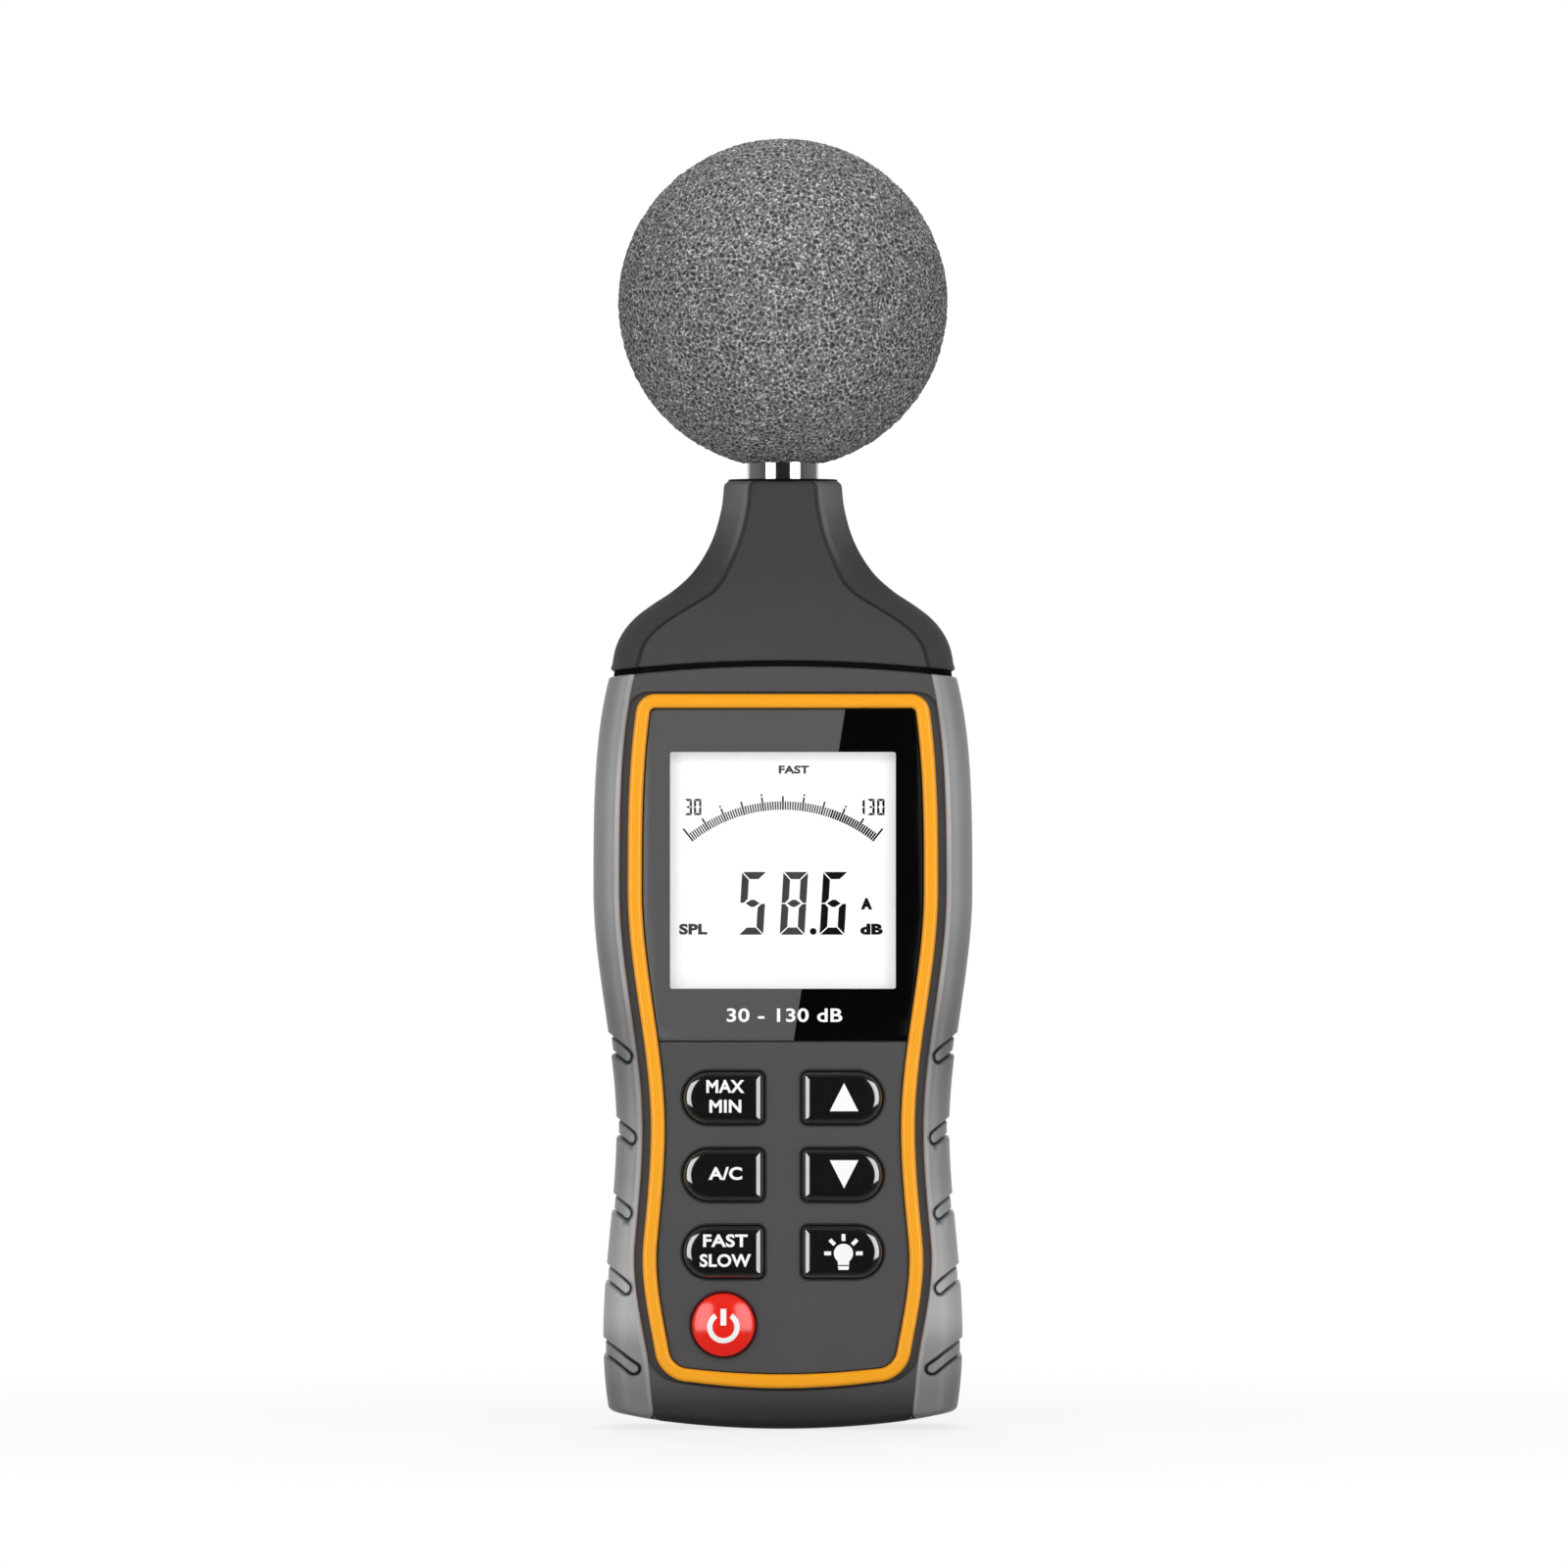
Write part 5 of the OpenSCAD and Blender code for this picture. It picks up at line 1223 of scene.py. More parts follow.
def lettering(text, x, h, width, height, depth, thickness, bold=0.03):
    """Raised letters, centred across at a height, on a flat face at a depth."""
    curve = bpy.data.curves.new("part", "FONT")
    curve.body = text
    curve.size = 1
    curve.offset = bold
    curve.space_character = 1.05
    # Any thickness will do here, because the letters are scaled to their size below.
    curve.extrude = 0.1
    curve.resolution_u = 6
    source = linked("part", curve)
    graph = bpy.context.evaluated_depsgraph_get()
    mesh = bpy.data.meshes.new_from_object(source.evaluated_get(graph))
    bpy.data.objects.remove(source)
    points = np.array([v.co for v in mesh.vertices])
    low, high = points.min(0), points.max(0)
    across, up, out = (share(points, low, high) - 0.5).T
    placed = np.stack([x + across * width, depth - thickness * (out + 0.5), h + up * height], axis=1)
    for vertex, point in zip(mesh.vertices, place(placed)):
        vertex.co = point
    return finished(linked("part", mesh))


def patch(outline, depth, thickness):
    """A thin printed shape from its corners, across and up from the foot."""
    return skin("part", [upright(outline, y) for y in (depth, depth - thickness)])


class METER_OT_lens(bpy.types.Operator):
    """Build the printed lens and its clear window"""

    bl_idname = "meter.lens"
    bl_label = "Lens"

    def execute(self, context):
        low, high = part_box("display_lens")
        edge, gap, play = 0.12 * MM, 0.2 * MM, 0.01 * MM
        levels = [(high.y - FRONT, -gap), (edge, -gap), (0.3 * edge, -gap - 0.3 * edge), (0, -gap - edge)]
        lens = stack("lens_print", lens_outline(low.z - FOOT + 0.05 * MM), levels)
        hole = window_outline()
        combine(lens, [stack("cut", hole, [(-MM, 0), (2 * MM, 0)])])
        # Left of the slant the lens takes the grey of a painted reflection, right of it its black print.
        dress(lens, ["lens_grey", "lens_black"], "meter", "lens_plastic", "display_lens")
        split_at_glare(lens)
        window_front, window_back = 0.03 * MM, 0.9 * MM
        window = stack("lens_window", hole, [(window_back, -play), (window_front, -play)])
        dress(window, ["window"], "meter", "display_glass")
        x, z, width, capital, ink = 0.3 * MM, 75.2 * MM, 21 * MM, 2.5 * MM, 0.03 * MM
        text = lettering("30 - 130 dB", x, z, width, capital, 0, ink, bold=0.02)
        dress(joined("lens_lettering", [text]), ["legend"], "meter", "lens_plastic")
        return {"FINISHED"}


# Which of the seven segments each digit shows: top, upper right, lower right, bottom, lower left,
# upper left, middle.
DIGITS = {"0": "1111110", "1": "0110000", "3": "1111001", "5": "1011011", "6": "1011111", "8": "1111111"}


def digit_segments(digit, x, h, width, height, stroke, lean):
    """The segments of a digit as outlines, with mitred gaps between them."""
    a, b, t, gap = width / 2, height / 2, stroke, 0.12 * stroke
    across = [(-a + gap, 0), (a - gap, 0), (a - t - gap, -t), (-a + t + gap, -t)]
    side = [(0, b - gap), (0, gap * 0.6), (-t * 0.5, gap * 0.6), (-t, t * 0.5 + gap), (-t, b - t - gap)]
    tip, bend = a - t * 0.75, a - t * 1.5
    middle = [(-tip, 0), (-bend, t / 2), (bend, t / 2), (tip, 0), (bend, -t / 2), (-bend, -t / 2)]
    shapes = [
        [(px, b + pz) for px, pz in across],
        [(a + px, pz) for px, pz in side],
        [(a + px, -pz) for px, pz in side],
        [(px, -b - pz) for px, pz in across],
        [(-a - px, -pz) for px, pz in side],
        [(-a - px, pz) for px, pz in side],
        middle,
    ]
    shown = [outline for outline, on in zip(shapes, DIGITS[digit]) if on == "1"]
    return [[(x + px + pz * lean, h + pz) for px, pz in outline] for outline in shown]


class METER_OT_display(bpy.types.Operator):
    """Build the display glass and everything that it shows"""

    bl_idname = "meter.display"
    bl_label = "Display"

    # How far the print stands proud.
    ink = 0.03 * MM

    # Rows of digits, in mm: each digit and its middle, the row's height above the foot, a digit's
    # width, height and stroke, and its lean.
    rows = (
        ((("5", -5.5), ("8", 2.0), ("6", 9.25)), 95.5, 4.5, 11.4, 1.3, 0.06),
        ((("3", -17.2), ("0", -15.5), ("1", 14.2), ("3", 16.0), ("0", 17.8)), 113.0, 1.35, 3.0, 0.42, 0),
    )
    # Words, in mm: the middle, the height above the foot, the width, the height of the capitals,
    # and how bold they are.
    words = (
        ("FAST", 2.0, 119.8, 5.5, 1.5, 0.04),
        ("SPL", -16.3, 90.8, 5.1, 2.0, 0.05),
        ("A", 15.2, 95.4, 2.1, 2.1, 0.08),
        ("dB", 16.1, 90.8, 4.1, 2.0, 0.06),
    )

    def scale(self, face):
        """An arc of fine ticks with a long tick at each tenth."""
        centre_h, inner_r = 86.3 * MM, 26.2 * MM
        half_angle, tenths, fine = 38.5, 10, 8
        marks = []
        for i in range(tenths * fine + 1):
            angle = math.radians(half_angle * (2 * i / (tenths * fine) - 1))
            long = i % fine == 0
            end = i in (0, tenths * fine)
            outer_r = inner_r + (2.9 if end else 2.5 if long else 1.55) * MM
            # Ticks right of the painted reflection's edge are drawn wider.
            dark = inner_r * math.sin(angle) > glare_edge_x(centre_h + inner_r * math.cos(angle))
            width = (0.34 if long or dark else 0.27) * MM
            marks.append(self.tick(angle, inner_r, outer_r, width, centre_h))
            if long and (i // fine) % 2 == 0 and not end:
                marks.append(self.tick(angle, outer_r + 0.25 * MM, outer_r + 0.6 * MM, width, centre_h))
        return [patch(outline, face, self.ink) for outline in marks]

    def tick(self, angle, inner, outer, width, centre_h):
        """A bar between two radii, at an angle from upright."""
        along = np.array([math.sin(angle), math.cos(angle)])
        across = np.array([along[1], -along[0]]) * width / 2
        ends = ((inner, -1), (inner, 1), (outer, 1), (outer, -1))
        return [np.array([0, centre_h]) + along * r + side * across for r, side in ends]

    def execute(self, context):
        low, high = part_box("lcd_glass")
        face, edge = low.y - FRONT, 0.2 * MM
        outline = round_rect(*face_of("lcd_glass"), 0.5 * MM)
        glass = stack("display_panel", outline, [(high.y - FRONT, 0), (face + edge, 0), (face, -edge)])
        dress(glass, ["display"], "meter", "display_glass", "lcd_glass")
        parts = self.scale(face)
        for digits, *sizes, lean in self.rows:
            for digit, x in digits:
                for outline in digit_segments(digit, x * MM, *[size * MM for size in sizes], lean):
                    parts.append(patch(outline, face, self.ink))
        point_x, point_z, point_r = 5.5 * MM, 90.4 * MM, 0.62 * MM
        point = disc(point_x, point_z, point_r, 32)
        parts.append(stack("part", point, [(face, 0), (face - self.ink, 0)]))
        for text, *sizes, bold in self.words:
            parts.append(lettering(text, *[size * MM for size in sizes], face, self.ink, bold))
        ink = joined("display_segments", parts)
        # Left of the slant the segments take the grey of a painted reflection.
        dress(ink, ["segment_grey", "segment_black"], "meter", "display_glass")
        split_at_glare(ink)
        return {"FINISHED"}


# ---- Keys ------------------------------------------------------------------


def triangle(x, h, width, height, up):
    """A triangle that points up or down."""
    half = height / 2 if up else -height / 2
    return [(x - width / 2, h - half), (x + width / 2, h - half), (x, h + half)]


def ray(angle, inner, outer, width):
    """A bar that points away from the middle, at an angle in degrees from across."""
    a = math.radians(angle)
    along = np.array([math.cos(a), math.sin(a)])
    across = np.array([-along[1], along[0]]) * width / 2
    return [along * inner - across, along * outer - across, along * outer + across, along * inner + across]


def bulb(x, h, face, ink):
    """A light bulb with five rays."""
    glass = arc(0, 0, 1.75 * MM, -54, 234, 30)
    neck = [(-1.03 * MM, -2.1 * MM), (1.03 * MM, -2.1 * MM)]
    base = np.array([(-1.03, -2.3), (1.03, -2.3), (0.9, -3.0), (-0.9, -3.0)]) * MM
    rays = [ray(angle, 2.25 * MM, 3.5 * MM, 0.7 * MM) for angle in (0, 45, 90, 135, 180)]
    outlines = [np.concatenate([glass, neck]), base, *rays]
    return [patch(np.asarray(outline) + np.array([x, h]), face, ink) for outline in outlines]


class METER_OT_keys(bpy.types.Operator):
    """Build the six black keys and their legends"""

    bl_idname = "meter.keys"
    bl_label = "Keys"

    # How far the print stands proud.
    ink = 0.04 * MM

    # Each word on a key, its width in mm, and the row that it stands in.
    words = {
        "key_max_min": (("MAX", 6.9, 0.5), ("MIN", 5.8, -0.5)),
        "key_weighting": (("A/C", 6.1, 0),),
        "key_response": (("FAST", 8.1, 0.5), ("SLOW", 9.3, -0.5)),
    }

    def legend(self, node, x, h, face):
        """The parts of a key's legend, each a little beside the key's middle."""
        if node in self.words:
            pitch, capital, right, up = 3.6 * MM, 2.35 * MM, 0.35 * MM, 0.3 * MM
            return [
                lettering(text, x + right, h + up + row * pitch, width * MM, capital, face, self.ink)
                for text, width, row in self.words[node]
            ]
        if node == "key_light":
            return bulb(x + 0.2 * MM, h - 0.2 * MM, face, self.ink)
        arrow = triangle(x + 0.3 * MM, h + 0.15 * MM, 5.2 * MM, 5.1 * MM, node == "key_up")
        return [patch(arrow, face, self.ink)]

    def execute(self, context):
        flange_top = shape().wall + 0.05 * MM
        round_w, round_h = 2.2 * MM, 1.15 * MM
        for node, side in KEYS.items():
            low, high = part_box(node)
            x, z = site(node)
            top, base = low.y - FRONT, high.y - FRONT
            levels = [(base, FLANGE_W), (flange_top, FLANGE_W), (flange_top, 0.0), (top + round_h, 0.0)]
            for a in np.linspace(0, math.pi / 2, 14)[1:]:
                levels.append((top + round_h * (1 - math.sin(a)), -round_w * (1 - math.cos(a))))
            key = stack(node + "_cap", key_outline(side, x, z), levels)
            dress(key, ["key"], node, "key_plastic", node)
            legend = joined(node + "_legend", self.legend(node, x, z, top + 0.01 * MM))
            dress(legend, ["legend"], node, "key_plastic")
        return {"FINISHED"}


class METER_OT_power_button(bpy.types.Operator):
    """Build the domed power button and its symbol"""

    bl_idname = "meter.power_button"
    bl_label = "Power Button"

    def execute(self, context):
        low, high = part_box("power_button")
        x, h = site("power_button")
        r = button_r()
        top, base = low.y - FRONT, high.y - FRONT
        rise, edge = 1.55 * MM, 0.35 * MM
        flange_top = shape().wall + 0.05 * MM

        def dome(radius):
            """Depth of the dome's surface at a radius."""
            return top + rise * (radius / r) ** 2

        profile = [(r + FLANGE_W, base), (r + FLANGE_W, flange_top), (r, flange_top)]
        for a in np.linspace(0, math.radians(62), 6):
            profile.append((r - edge * (1 - math.cos(a)), top + rise + 0.7 * edge - edge * math.sin(a)))
        profile += [(q, float(dome(q))) for q in np.linspace(r - 1.2 * edge, TINY_R, 24)]
        button = lathe("power_dome", profile, (x, FRONT, h + FOOT), axis="y")
        dress(button, ["power"], "power_button", "power_plastic", "power_button")
        dress(self.symbol(x, h, dome), ["legend"], "power_button", "power_plastic")
        return {"FINISHED"}

    def symbol(self, x, h, dome):
        """An open ring with a bar in its gap, laid on the dome."""
        outer, stroke, opening, drop, ink = 2.95 * MM, 0.95 * MM, 34, 0.35 * MM, 0.03 * MM
        angle = np.radians(np.linspace(90 + opening, 450 - opening, 73))
        radii = np.linspace(outer - stroke, outer, 5)
        ring = [[(q * math.cos(a), q * math.sin(a) - drop) for q in radii] for a in angle]
        bar_w, heights = 1.05 * MM, np.linspace(0, 1, 12)
        bar_low, bar_high = -0.05 * MM, 2.95 * MM
        bar = [[(bar_w * u, mix(bar_low, bar_high, v)) for u in np.linspace(-0.5, 0.5, 5)] for v in heights]
        parts = []
        for grid in (np.array(ring), np.array(bar)):
            across, up = grid[..., 0], grid[..., 1]
            depth = dome(np.hypot(across, up))
            under, over = [np.stack([across + x, depth + lift, up + h], axis=-1) for lift in (-ink, ink)]
            parts.append(skin("part", place(np.concatenate([under, over[:, ::-1]], axis=1))))
        return joined("power_symbol", parts)


# ---- Microphone ------------------------------------------------------------


class METER_OT_microphone(bpy.types.Operator):
    """Build the microphone's barrel, cap and bush"""

    bl_idname = "meter.microphone"
    bl_label = "Microphone"

    def execute(self, context):
        low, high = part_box("mic_barrel")
        cap_low, cap_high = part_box("mic_cap")
        bush_low, bush_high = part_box("mic_bush")
        collar = COLLAR + FOOT
        r = (cap_high.x - cap_low.x) / 2
        wall, flange, line, edge = 0.9 * MM, 2 * MM, 0.12 * MM, 0.25 * MM
        centre = (0, MIDDLE, 0)
        profile = [(r - wall, low.z), (r + MM, low.z), (r + MM, low.z + flange), (r, low.z + flange)]
        for z in (collar + 9 * MM, collar + 10.2 * MM, collar + 20 * MM):
            profile += [(r, z - line), (r - line, z), (r, z + line)]
        profile += [(r, high.z - edge), (r - edge, high.z), (r - wall, high.z)]
        barrel = lathe("barrel_tube", profile, centre, ring=True)
        dress(barrel, ["chrome"], "meter", "mic_chrome", "mic_barrel")

        top, roof = cap_high.z, cap_high.z - 0.7 * MM
        shell = [(r - wall, cap_low.z), (r, cap_low.z), (r, cap_low.z + 0.5 * MM)]
        shell += [(r - line, cap_low.z + 0.6 * MM), (r, cap_low.z + 0.7 * MM), (r, top - 0.5 * MM)]
        shell += [(r - 0.15 * MM, top - 0.15 * MM), (r - 0.5 * MM, top)]
        shell += [(0.01 * MM, top), (0.01 * MM, roof), (r - wall, roof)]
        cap = lathe("cap_grid", shell, centre, ring=True)
        slots = self.slots(8, 2 * MM, 5 * MM, 0.8 * MM, roof - MM, top + MM)
        slots += self.slots(12, r - 2 * MM, r + MM, 0.7 * MM, top - 2.4 * MM, top - MM)
        combine(cap, slots)
        dress(cap, ["chrome"], "meter", "mic_chrome", "mic_cap")

        top, inside, lip = bush_high.z, r + 0.02 * MM, 0.2 * MM
        wide_r = (bush_high.x - bush_low.x) / 2
        bush_profile = [(inside, bush_low.z), (BUSH_R, bush_low.z), (BUSH_R, collar), (wide_r, collar)]
        bush_profile += [(wide_r, top - lip), (wide_r - lip, top), (inside, top)]
        bush = lathe("collar_bush", bush_profile, centre, ring=True)
        dress(bush, ["seal"], "meter", "seal_rubber", "mic_bush")
        return {"FINISHED"}

    def slots(self, count, inner, outer, width, low, high):
        """Cutters for radial slots, evenly all round."""
        cutters = []
        for i in range(count):
            loop = ray(360 / count * i, inner, outer, width)
            cutters.append(skin("cut", [[(x, MIDDLE + y, z) for x, y in loop] for z in (low, high)]))
        return cutters


class METER_OT_windscreen(bpy.types.Operator):
    """Build the foam ball, with its pores and its bore"""

    bl_idname = "meter.windscreen"
    bl_label = "Windscreen"

    def execute(self, context):
        low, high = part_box("windscreen")
        r = (high.x - low.x) / 2
        centre = Vector((0, MIDDLE, high.z - r))
        ball = linked("foam_ball", bpy.data.meshes.new("foam_ball"))
        with edited(ball.data) as work:
            bmesh.ops.create_icosphere(work, subdivisions=7, radius=r - 0.05 * MM)
            bmesh.ops.translate(work, verts=work.verts, vec=centre)
        bore_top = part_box("mic_cap")[1].z + 1.4 * MM
        bore_r, flare = shape().ball_bore, 0.5 * MM
        mouth = centre.z - math.sqrt(r * r - bore_r * bore_r)
        profile = [(bore_r + flare + MM, mouth - MM), (bore_r, mouth + flare), (bore_r, bore_top)]
        combine(ball, [lathe("cut", profile, (0, MIDDLE, 0))])
        solid = r - 0.3 * MM
        fine, broad = 1 / (0.8 * MM), 1 / (6 * MM)
        pit, swell, proudest = 0.55 * MM, 0.08 * MM, 0.2 * MM
        for vertex in ball.data.vertices:
            out = vertex.co - centre
            if out.length < solid:
                continue
            pore = noise.noise(vertex.co * fine) * 0.7 + noise.noise(vertex.co * fine * 2.1) * 0.3
            change = min(pit * pore + swell * noise.noise(vertex.co * broad), proudest)
            vertex.co = centre + out.normalized() * (out.length + change)
        dress(ball, ["foam"], "windscreen", "foam", "windscreen")
        return {"FINISHED"}


# ---- Back ------------------------------------------------------------------


class METER_OT_battery_door(bpy.types.Operator):
    """Build the battery door"""

    bl_idname = "meter.battery_door"
    bl_label = "Battery Door"

    def execute(self, context):
        low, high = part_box("battery_door")
        springs_low, springs_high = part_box("contact_springs")
        x, z = site("door_screw")
        edge = BACK_CHAMFER
        levels = [(DEPTH - DOOR_T, 0), (DEPTH - edge, 0), (DEPTH - 0.3 * edge, -0.3 * edge), (DEPTH, -edge)]
        plate = stack("door_plate", round_rect(*face_of("battery_door"), DOOR_R), levels)
        half, rim, inner = high.x - 3.7 * MM, 1.4 * MM, BACK - DOOR_T
        ribs = [
            box("part", (-half, inner - MM, base), (half, inner + 0.5 * MM, base + rim))
            for base in (springs_low.z + DOOR_GAP, springs_high.z - DOOR_GAP - rim)
        ]
        boss_levels = [(DEPTH - DOOR_T - 2.6 * MM, 0), (DEPTH - 0.5 * MM, 0)]
        ribs.append(stack("part", disc(x, z, 3.4 * MM), boss_levels))
        combine(plate, ribs, "UNION")
        head_y, head_t = DEPTH - 1.2 * MM, 1.7 * MM
        cuts = [
            back_hole(disc(x, z, 2.5 * MM), head_y - head_t),
            stack("cut", disc(x, z, PILOT_R, 48), [(DEPTH - 8 * MM, 0), (DEPTH, 0)]),
        ]
        # Seven finger bars with an arrow above them.
        pitch, rib_w, rib_z = 1.8 * MM, 16 * MM, low.z - FOOT + 6 * MM - DOOR_GAP
        for i in range(7):
            bar = round_rect(0, rib_z + pitch * (i + 0.25), rib_w, pitch / 2, pitch / 4 - 0.01 * MM)
            cuts.append(stack("cut", bar, [(DEPTH - 0.5 * MM, -0.1 * MM), (DEPTH + 0.5 * MM, 0.05 * MM)]))
        arrow = triangle(0, rib_z + 8 * pitch, 6 * MM, 3.4 * MM, False)
        cuts.append(stack("cut", lambda growth: arrow, [(DEPTH - 0.4 * MM, 0), (DEPTH + MM, 0)]))
        combine(plate, cuts)
        dress(plate, ["case"], "battery_door", "case_plastic", "battery_door")
        return {"FINISHED"}


class METER_OT_cells(bpy.types.Operator):
    """Build the three cells"""

    bl_idname = "meter.cells"
    bl_label = "Cells"

    def execute(self, context):
        tip_r, tip_h, tip_edge, edge, dish = 1.9 * MM, 0.9 * MM, 0.25 * MM, 0.5 * MM, 0.3 * MM
        for node in ("battery_left", "battery_middle", "battery_right"):
            low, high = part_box(node)
            r, up, tall = (high.x - low.x) / 2, node != "battery_middle", high.z - low.z
            centre = ((low.x + high.x) / 2, (low.y + high.y) / 2, 0)
            shoulder = tall - tip_h
            profile = [(TINY_R, dish), (r - edge, 0), (r, edge), (r, shoulder - edge), (r - edge, shoulder)]
            profile += [(tip_r, shoulder), (tip_r, tall - tip_edge), (tip_r - tip_edge, tall), (TINY_R, tall)]
            if not up:
                profile = [(q, tall - z) for q, z in profile][::-1]
            cell = lathe(node + "_cell", [(q, low.z + z) for q, z in profile], centre, smooth=40)
            dress(cell, ["jacket", "nickel"], "meter", "cell_jacket", node)
            for face in cell.data.polygons:
                along = face.center.z - low.z if up else high.z - face.center.z
                off_centre = math.hypot(face.center.x - centre[0], face.center.y - centre[1])
                face.material_index = int(off_centre < r - 2 * edge or along > shoulder - 0.01 * MM)
        return {"FINISHED"}


class METER_OT_tripod_insert(bpy.types.Operator):
    """Build the threaded brass insert"""

    bl_idname = "meter.tripod_insert"
    bl_label = "Tripod Insert"

    def execute(self, context):
        low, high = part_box("tripod_insert")
        outer_r, minor_r, thread_d, pitch = (high.x - low.x) / 2, 2.56 * MM, 0.5 * MM, 1.27 * MM
        flare, edge = 0.35 * MM, 0.2 * MM
        angle = circle(72)

        def ring(radius, y):
            return np.stack([radius * np.cos(angle), np.full(len(angle), y), radius * np.sin(angle)], axis=1)

        rings = []
        for y in np.linspace(low.y, high.y - flare, 96):
            phase = (y / pitch + angle / (2 * math.pi)) % 1
            fade = clamp((high.y - flare - y) / (0.5 * pitch)) * clamp((y - low.y) / (0.2 * pitch))
            rings.append(ring(minor_r + thread_d * (1 - np.abs(2 * phase - 1)) * fade, y))
        rings += [ring(minor_r + flare, high.y), ring(outer_r - edge, high.y)]
        rings += [ring(outer_r, high.y - edge), ring(outer_r, low.y)]
        dress(hoop("socket_insert", rings), ["brass"], "meter", "brass", "tripod_insert")
        return {"FINISHED"}


class METER_OT_screws(bpy.types.Operator):
    """Build the screws at the back"""

    bl_idname = "meter.screws"
    bl_label = "Screws"

    def screw(self, x, h, top, shank):
        """A pan head screw with a cross recess, its head's top at a depth."""
        r, head_r, head_t, edge, taper = 1.3 * MM, 2.3 * MM, 1.7 * MM, 0.55 * MM, 0.12 * MM
        seat = top - head_t
        tip = seat - shank
        profile = [(TINY_R, tip), (r * 0.6, tip), (r, tip + MM), (r, seat), (head_r, seat)]
        profile += [(head_r, top - edge), (head_r - 0.3 * edge, top - 0.3 * edge), (head_r - edge, top)]
        profile += [(TINY_R, top)]
        body = lathe("part", profile, (x, FRONT, h + FOOT), axis="y", steps=48)
        long, narrow = 2.7 * MM, 0.55 * MM
        cuts = []
        for w, t in ((long, narrow), (narrow, long)):
            bar = round_rect(x, h, w, t, 0.1 * MM, steps=2)
            cuts.append(stack("cut", bar, [(top - 0.9 * MM, -taper), (top + 0.2 * MM, 0)]))
        return combine(body, cuts)

    def execute(self, context):
        for name, node, shank, body, sites in (
            ("case_screw_set", "case_screws", 14 * MM, "meter", screw_sites("case_screws")),
            ("head_screw_set", "head_screws", 12 * MM, "meter", screw_sites("head_screws")),
            ("door_screw_turned", "door_screw", 7 * MM, "battery_door", [site("door_screw")]),
        ):
            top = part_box(node)[1].y - FRONT
            screws = joined(name, [self.screw(x, h, top, shank) for x, h in sites])
            dress(screws, ["steel"], body, "screw_steel", node)
        return {"FINISHED"}


# ---- Inner pieces ----------------------------------------------------------

INNER = {
    "lcd_frame": "white",
    "lcd_connector": "strip",
    "backlight": "white",
    "keypad_mat": "silicone",
    "main_board": "board",
    "mic_board": "board",
    "board_chips": "chip",
    "board_capacitors": "can",
    "board_screws": "steel",
    "ribbon_cable": "cable",
    "contact_springs": "nickel",
    "contact_plates": "nickel",
    "battery_leads": "wire",
    "mic_insulator": "ptfe",
    "mic_capsule": "nickel",
}


class METER_OT_inner_pieces(bpy.types.Operator):
    """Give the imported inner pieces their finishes"""

    bl_idname = "meter.inner_pieces"
    bl_label = "Inner Pieces"

    def execute(self, context):
        for node, name in INNER.items():
            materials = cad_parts[node].data.materials
            if not materials:
                materials.append(None)
            for i in range(len(materials)):
                materials[i] = finish(name)
        return {"FINISHED"}


# ---- Stage -----------------------------------------------------------------


def lamp(name, power, size, at, aim):
    """A soft rectangular lamp that faces a point."""
    data = bpy.data.lights.new(name, "AREA")
    data.shape = "RECTANGLE"
    data.size, data.size_y = size
    data.energy = power
    obj = linked(name, data)
    obj.location = at
    obj.rotation_euler = (Vector(aim) - Vector(at)).to_track_quat("-Z", "Y").to_euler()
    obj.visible_camera = False
    return obj


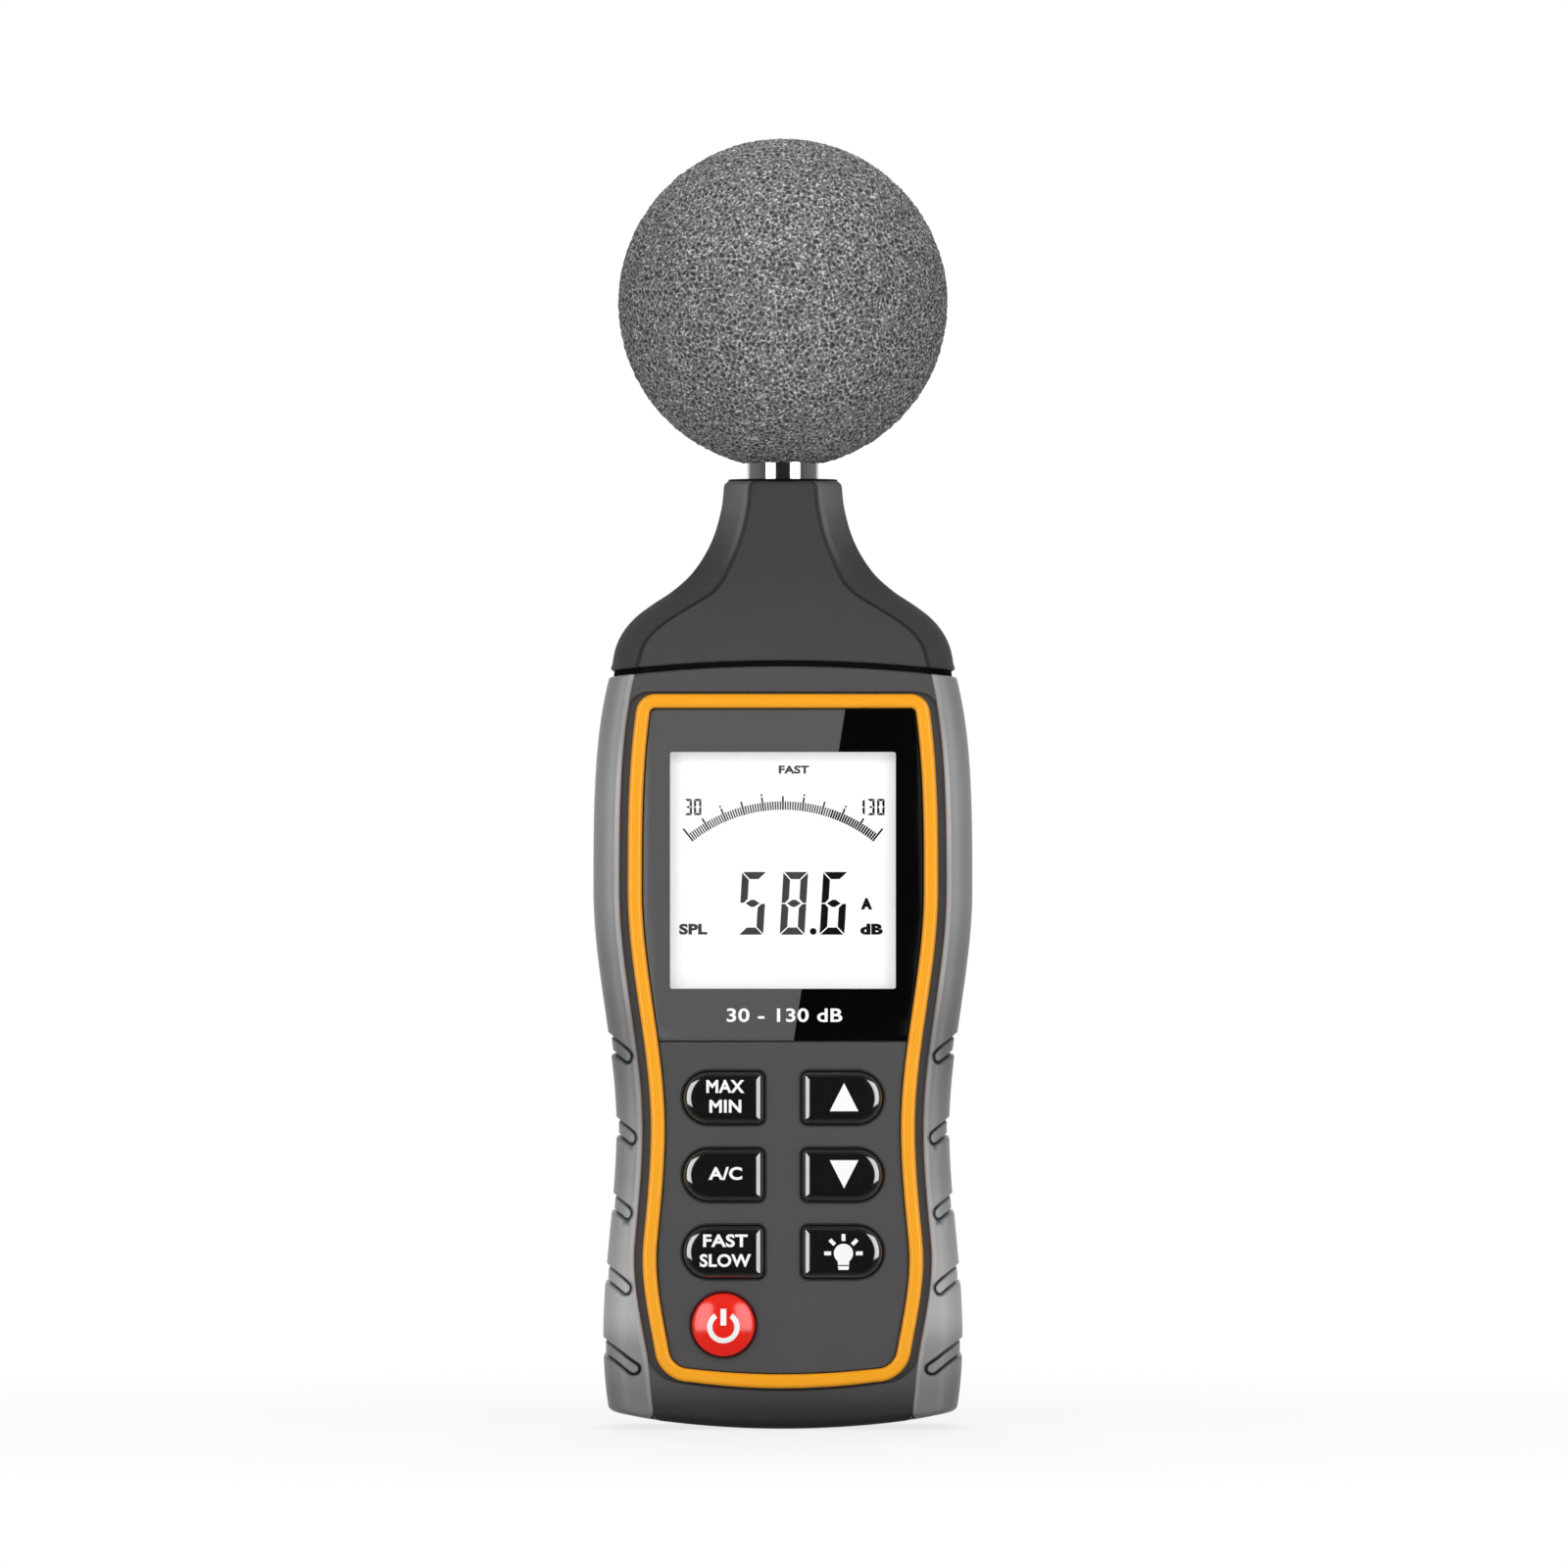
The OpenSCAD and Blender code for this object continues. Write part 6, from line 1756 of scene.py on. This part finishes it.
class METER_OT_stage(bpy.types.Operator):
    """Set up the floor, the lamps, the surroundings and the camera"""

    bl_idname = "meter.stage"
    bl_label = "Stage"

    def floor(self, stage):
        """A round pale floor that fades into the white surroundings."""
        level, inner_r = FOOT - 0.2 * MM, 4 * MM
        angle = circle(96)
        rings = [
            np.stack([r * np.cos(angle), MIDDLE + r * np.sin(angle), np.full(len(angle), level)], axis=1)
            for r in np.linspace(stage.floor_r, inner_r, 24)
        ]
        floor = skin("floor", rings, caps=False)
        material = bpy.data.materials.new("floor")
        material.use_nodes = True
        tree, shader = material.node_tree, shader_of(material)
        shader["Base Color"].default_value = (0.86, 0.86, 0.86, 1)
        shader["Roughness"].default_value = 0.9
        shader["Specular IOR Level"].default_value = 0.1
        at = add_node(tree, "TexCoord")["Object"]
        distance = add_node(tree, "VectorMath", {0: at}, operation="LENGTH")["Value"]
        span = {"Value": distance, "From Min": 0.05, "From Max": 0.3, "To Min": 0.75}
        fade = add_node(tree, "MapRange", span)["Result"]
        camera_ray = add_node(tree, "LightPath")["Is Camera Ray"]
        seen = add_node(tree, "Math", {0: fade, 1: camera_ray}, operation="MULTIPLY")["Value"]
        pale, white = tree.nodes["Principled BSDF"].outputs["BSDF"], add_node(tree, "Emission")["Emission"]
        blend = add_node(tree, "MixShader", {"Fac": seen, 1: pale, 2: white})["Shader"]
        feed(tree.nodes["Material Output"].inputs["Surface"], blend)
        floor.data.materials.append(material)
        floor.visible_glossy = False

    def surroundings(self, stage):
        """Even soft light, white where the camera looks past the meter, and a white backdrop in its gloss."""
        world = bpy.data.worlds.new("surroundings")
        bpy.context.scene.world = world
        world.use_nodes = True
        tree = world.node_tree
        ray_kind = add_node(tree, "LightPath")
        rays = {0: ray_kind["Is Camera Ray"], 1: ray_kind["Is Transmission Ray"]}
        clear = add_node(tree, "Math", rays, operation="MAXIMUM")["Value"]
        at = add_node(tree, "TexCoord")["Generated"]
        backward = add_node(tree, "SeparateXYZ", {"Vector": at})["Y"]
        turned = add_node(tree, "MapRange", {"Value": backward, "From Min": -1})["Result"]
        levels = ((0.1, stage.dim), (0.35, 0.12), (0.82, 0.18), (0.97, 1))
        backdrop = add_ramp(tree, turned, [(position, [level] * 3) for position, level in levels])
        span = {"Value": ray_kind["Is Glossy Ray"], "To Min": stage.fill, "To Max": backdrop}
        gloss = add_node(tree, "MapRange", span)["Result"]
        strength = add_node(tree, "Math", {0: clear, 1: gloss}, operation="MAXIMUM")["Value"]
        background = tree.nodes["Background"].inputs
        feed(background["Strength"], strength)
        feed(background["Color"], (1, 1, 1, 1))

    def execute(self, context):
        scene = context.scene
        stage = scene.meter_stage
        self.floor(stage)
        self.surroundings(stage)
        middle = (0, MIDDLE, stage.view_height)
        upright_size, level_size = (0.5, 0.78), (0.9, 0.5)
        beside, ahead, up = 0.553, 0.659, 0.14
        for name, side in (("lamp_left", -1), ("lamp_right", 1)):
            at = (side * beside, MIDDLE - ahead, up)
            lamp(name, stage.side_power, upright_size, at, middle)
        for name, power, at in (
            ("lamp_front", stage.front_power, (0, -1.2, 1.1)),
            ("lamp_back", stage.back_power, (0, 1.2, 0.9)),
        ):
            lamp(name, power, level_size, at, middle).visible_glossy = False
        camera = linked("camera", bpy.data.cameras.new("camera"))
        camera.data.sensor_width = 36
        camera.data.lens = camera.data.sensor_width * stage.distance / stage.view_size
        camera.location = (stage.view_side, MIDDLE - stage.distance, stage.view_height)
        camera.rotation_euler = (math.pi / 2, 0, 0)
        camera.data.clip_start, camera.data.clip_end = 0.1, 20
        scene.camera = camera
        scene.view_settings.view_transform = "Standard"
        return {"FINISHED"}


# ---- Panel -----------------------------------------------------------------

OPERATORS = (
    METER_OT_front_case,
    METER_OT_rear_case,
    METER_OT_head,
    METER_OT_grips,
    METER_OT_trim,
    METER_OT_lens,
    METER_OT_display,
    METER_OT_keys,
    METER_OT_power_button,
    METER_OT_microphone,
    METER_OT_windscreen,
    METER_OT_battery_door,
    METER_OT_cells,
    METER_OT_tripod_insert,
    METER_OT_screws,
    METER_OT_inner_pieces,
    METER_OT_stage,
)

GROUPS = {"meter_shape": MeterShape, "meter_colours": MeterColours, "meter_stage": MeterStage}


class METER_PT_panel(bpy.types.Panel):
    """Lists the meter's settings and the steps that build it"""

    bl_idname = "METER_PT_panel"
    bl_label = "Sound Level Meter"
    bl_space_type = "VIEW_3D"
    bl_region_type = "UI"
    bl_category = "Meter"

    def draw(self, context):
        for name, group in GROUPS.items():
            column = self.layout.column(align=True)
            for setting in group.__annotations__:
                column.prop(getattr(context.scene, name), setting)
        column = self.layout.column(align=True)
        for operator in OPERATORS:
            column.operator(operator.bl_idname)


CLASSES = (*GROUPS.values(), *OPERATORS, METER_PT_panel)


def register():
    for cls in CLASSES:
        bpy.utils.register_class(cls)
    for name, group in GROUPS.items():
        setattr(bpy.types.Scene, name, PointerProperty(type=group))


def unregister():
    for name in GROUPS:
        delattr(bpy.types.Scene, name)
    for cls in reversed(CLASSES):
        bpy.utils.unregister_class(cls)


def main():
    """Builds every piece."""
    register()
    for operator in OPERATORS:
        group, name = operator.bl_idname.split(".")
        result = getattr(getattr(bpy.ops, group), name)()
        if "FINISHED" not in result:
            raise RuntimeError(operator.bl_label + " did not finish")


if __name__ == "__main__":
    main()
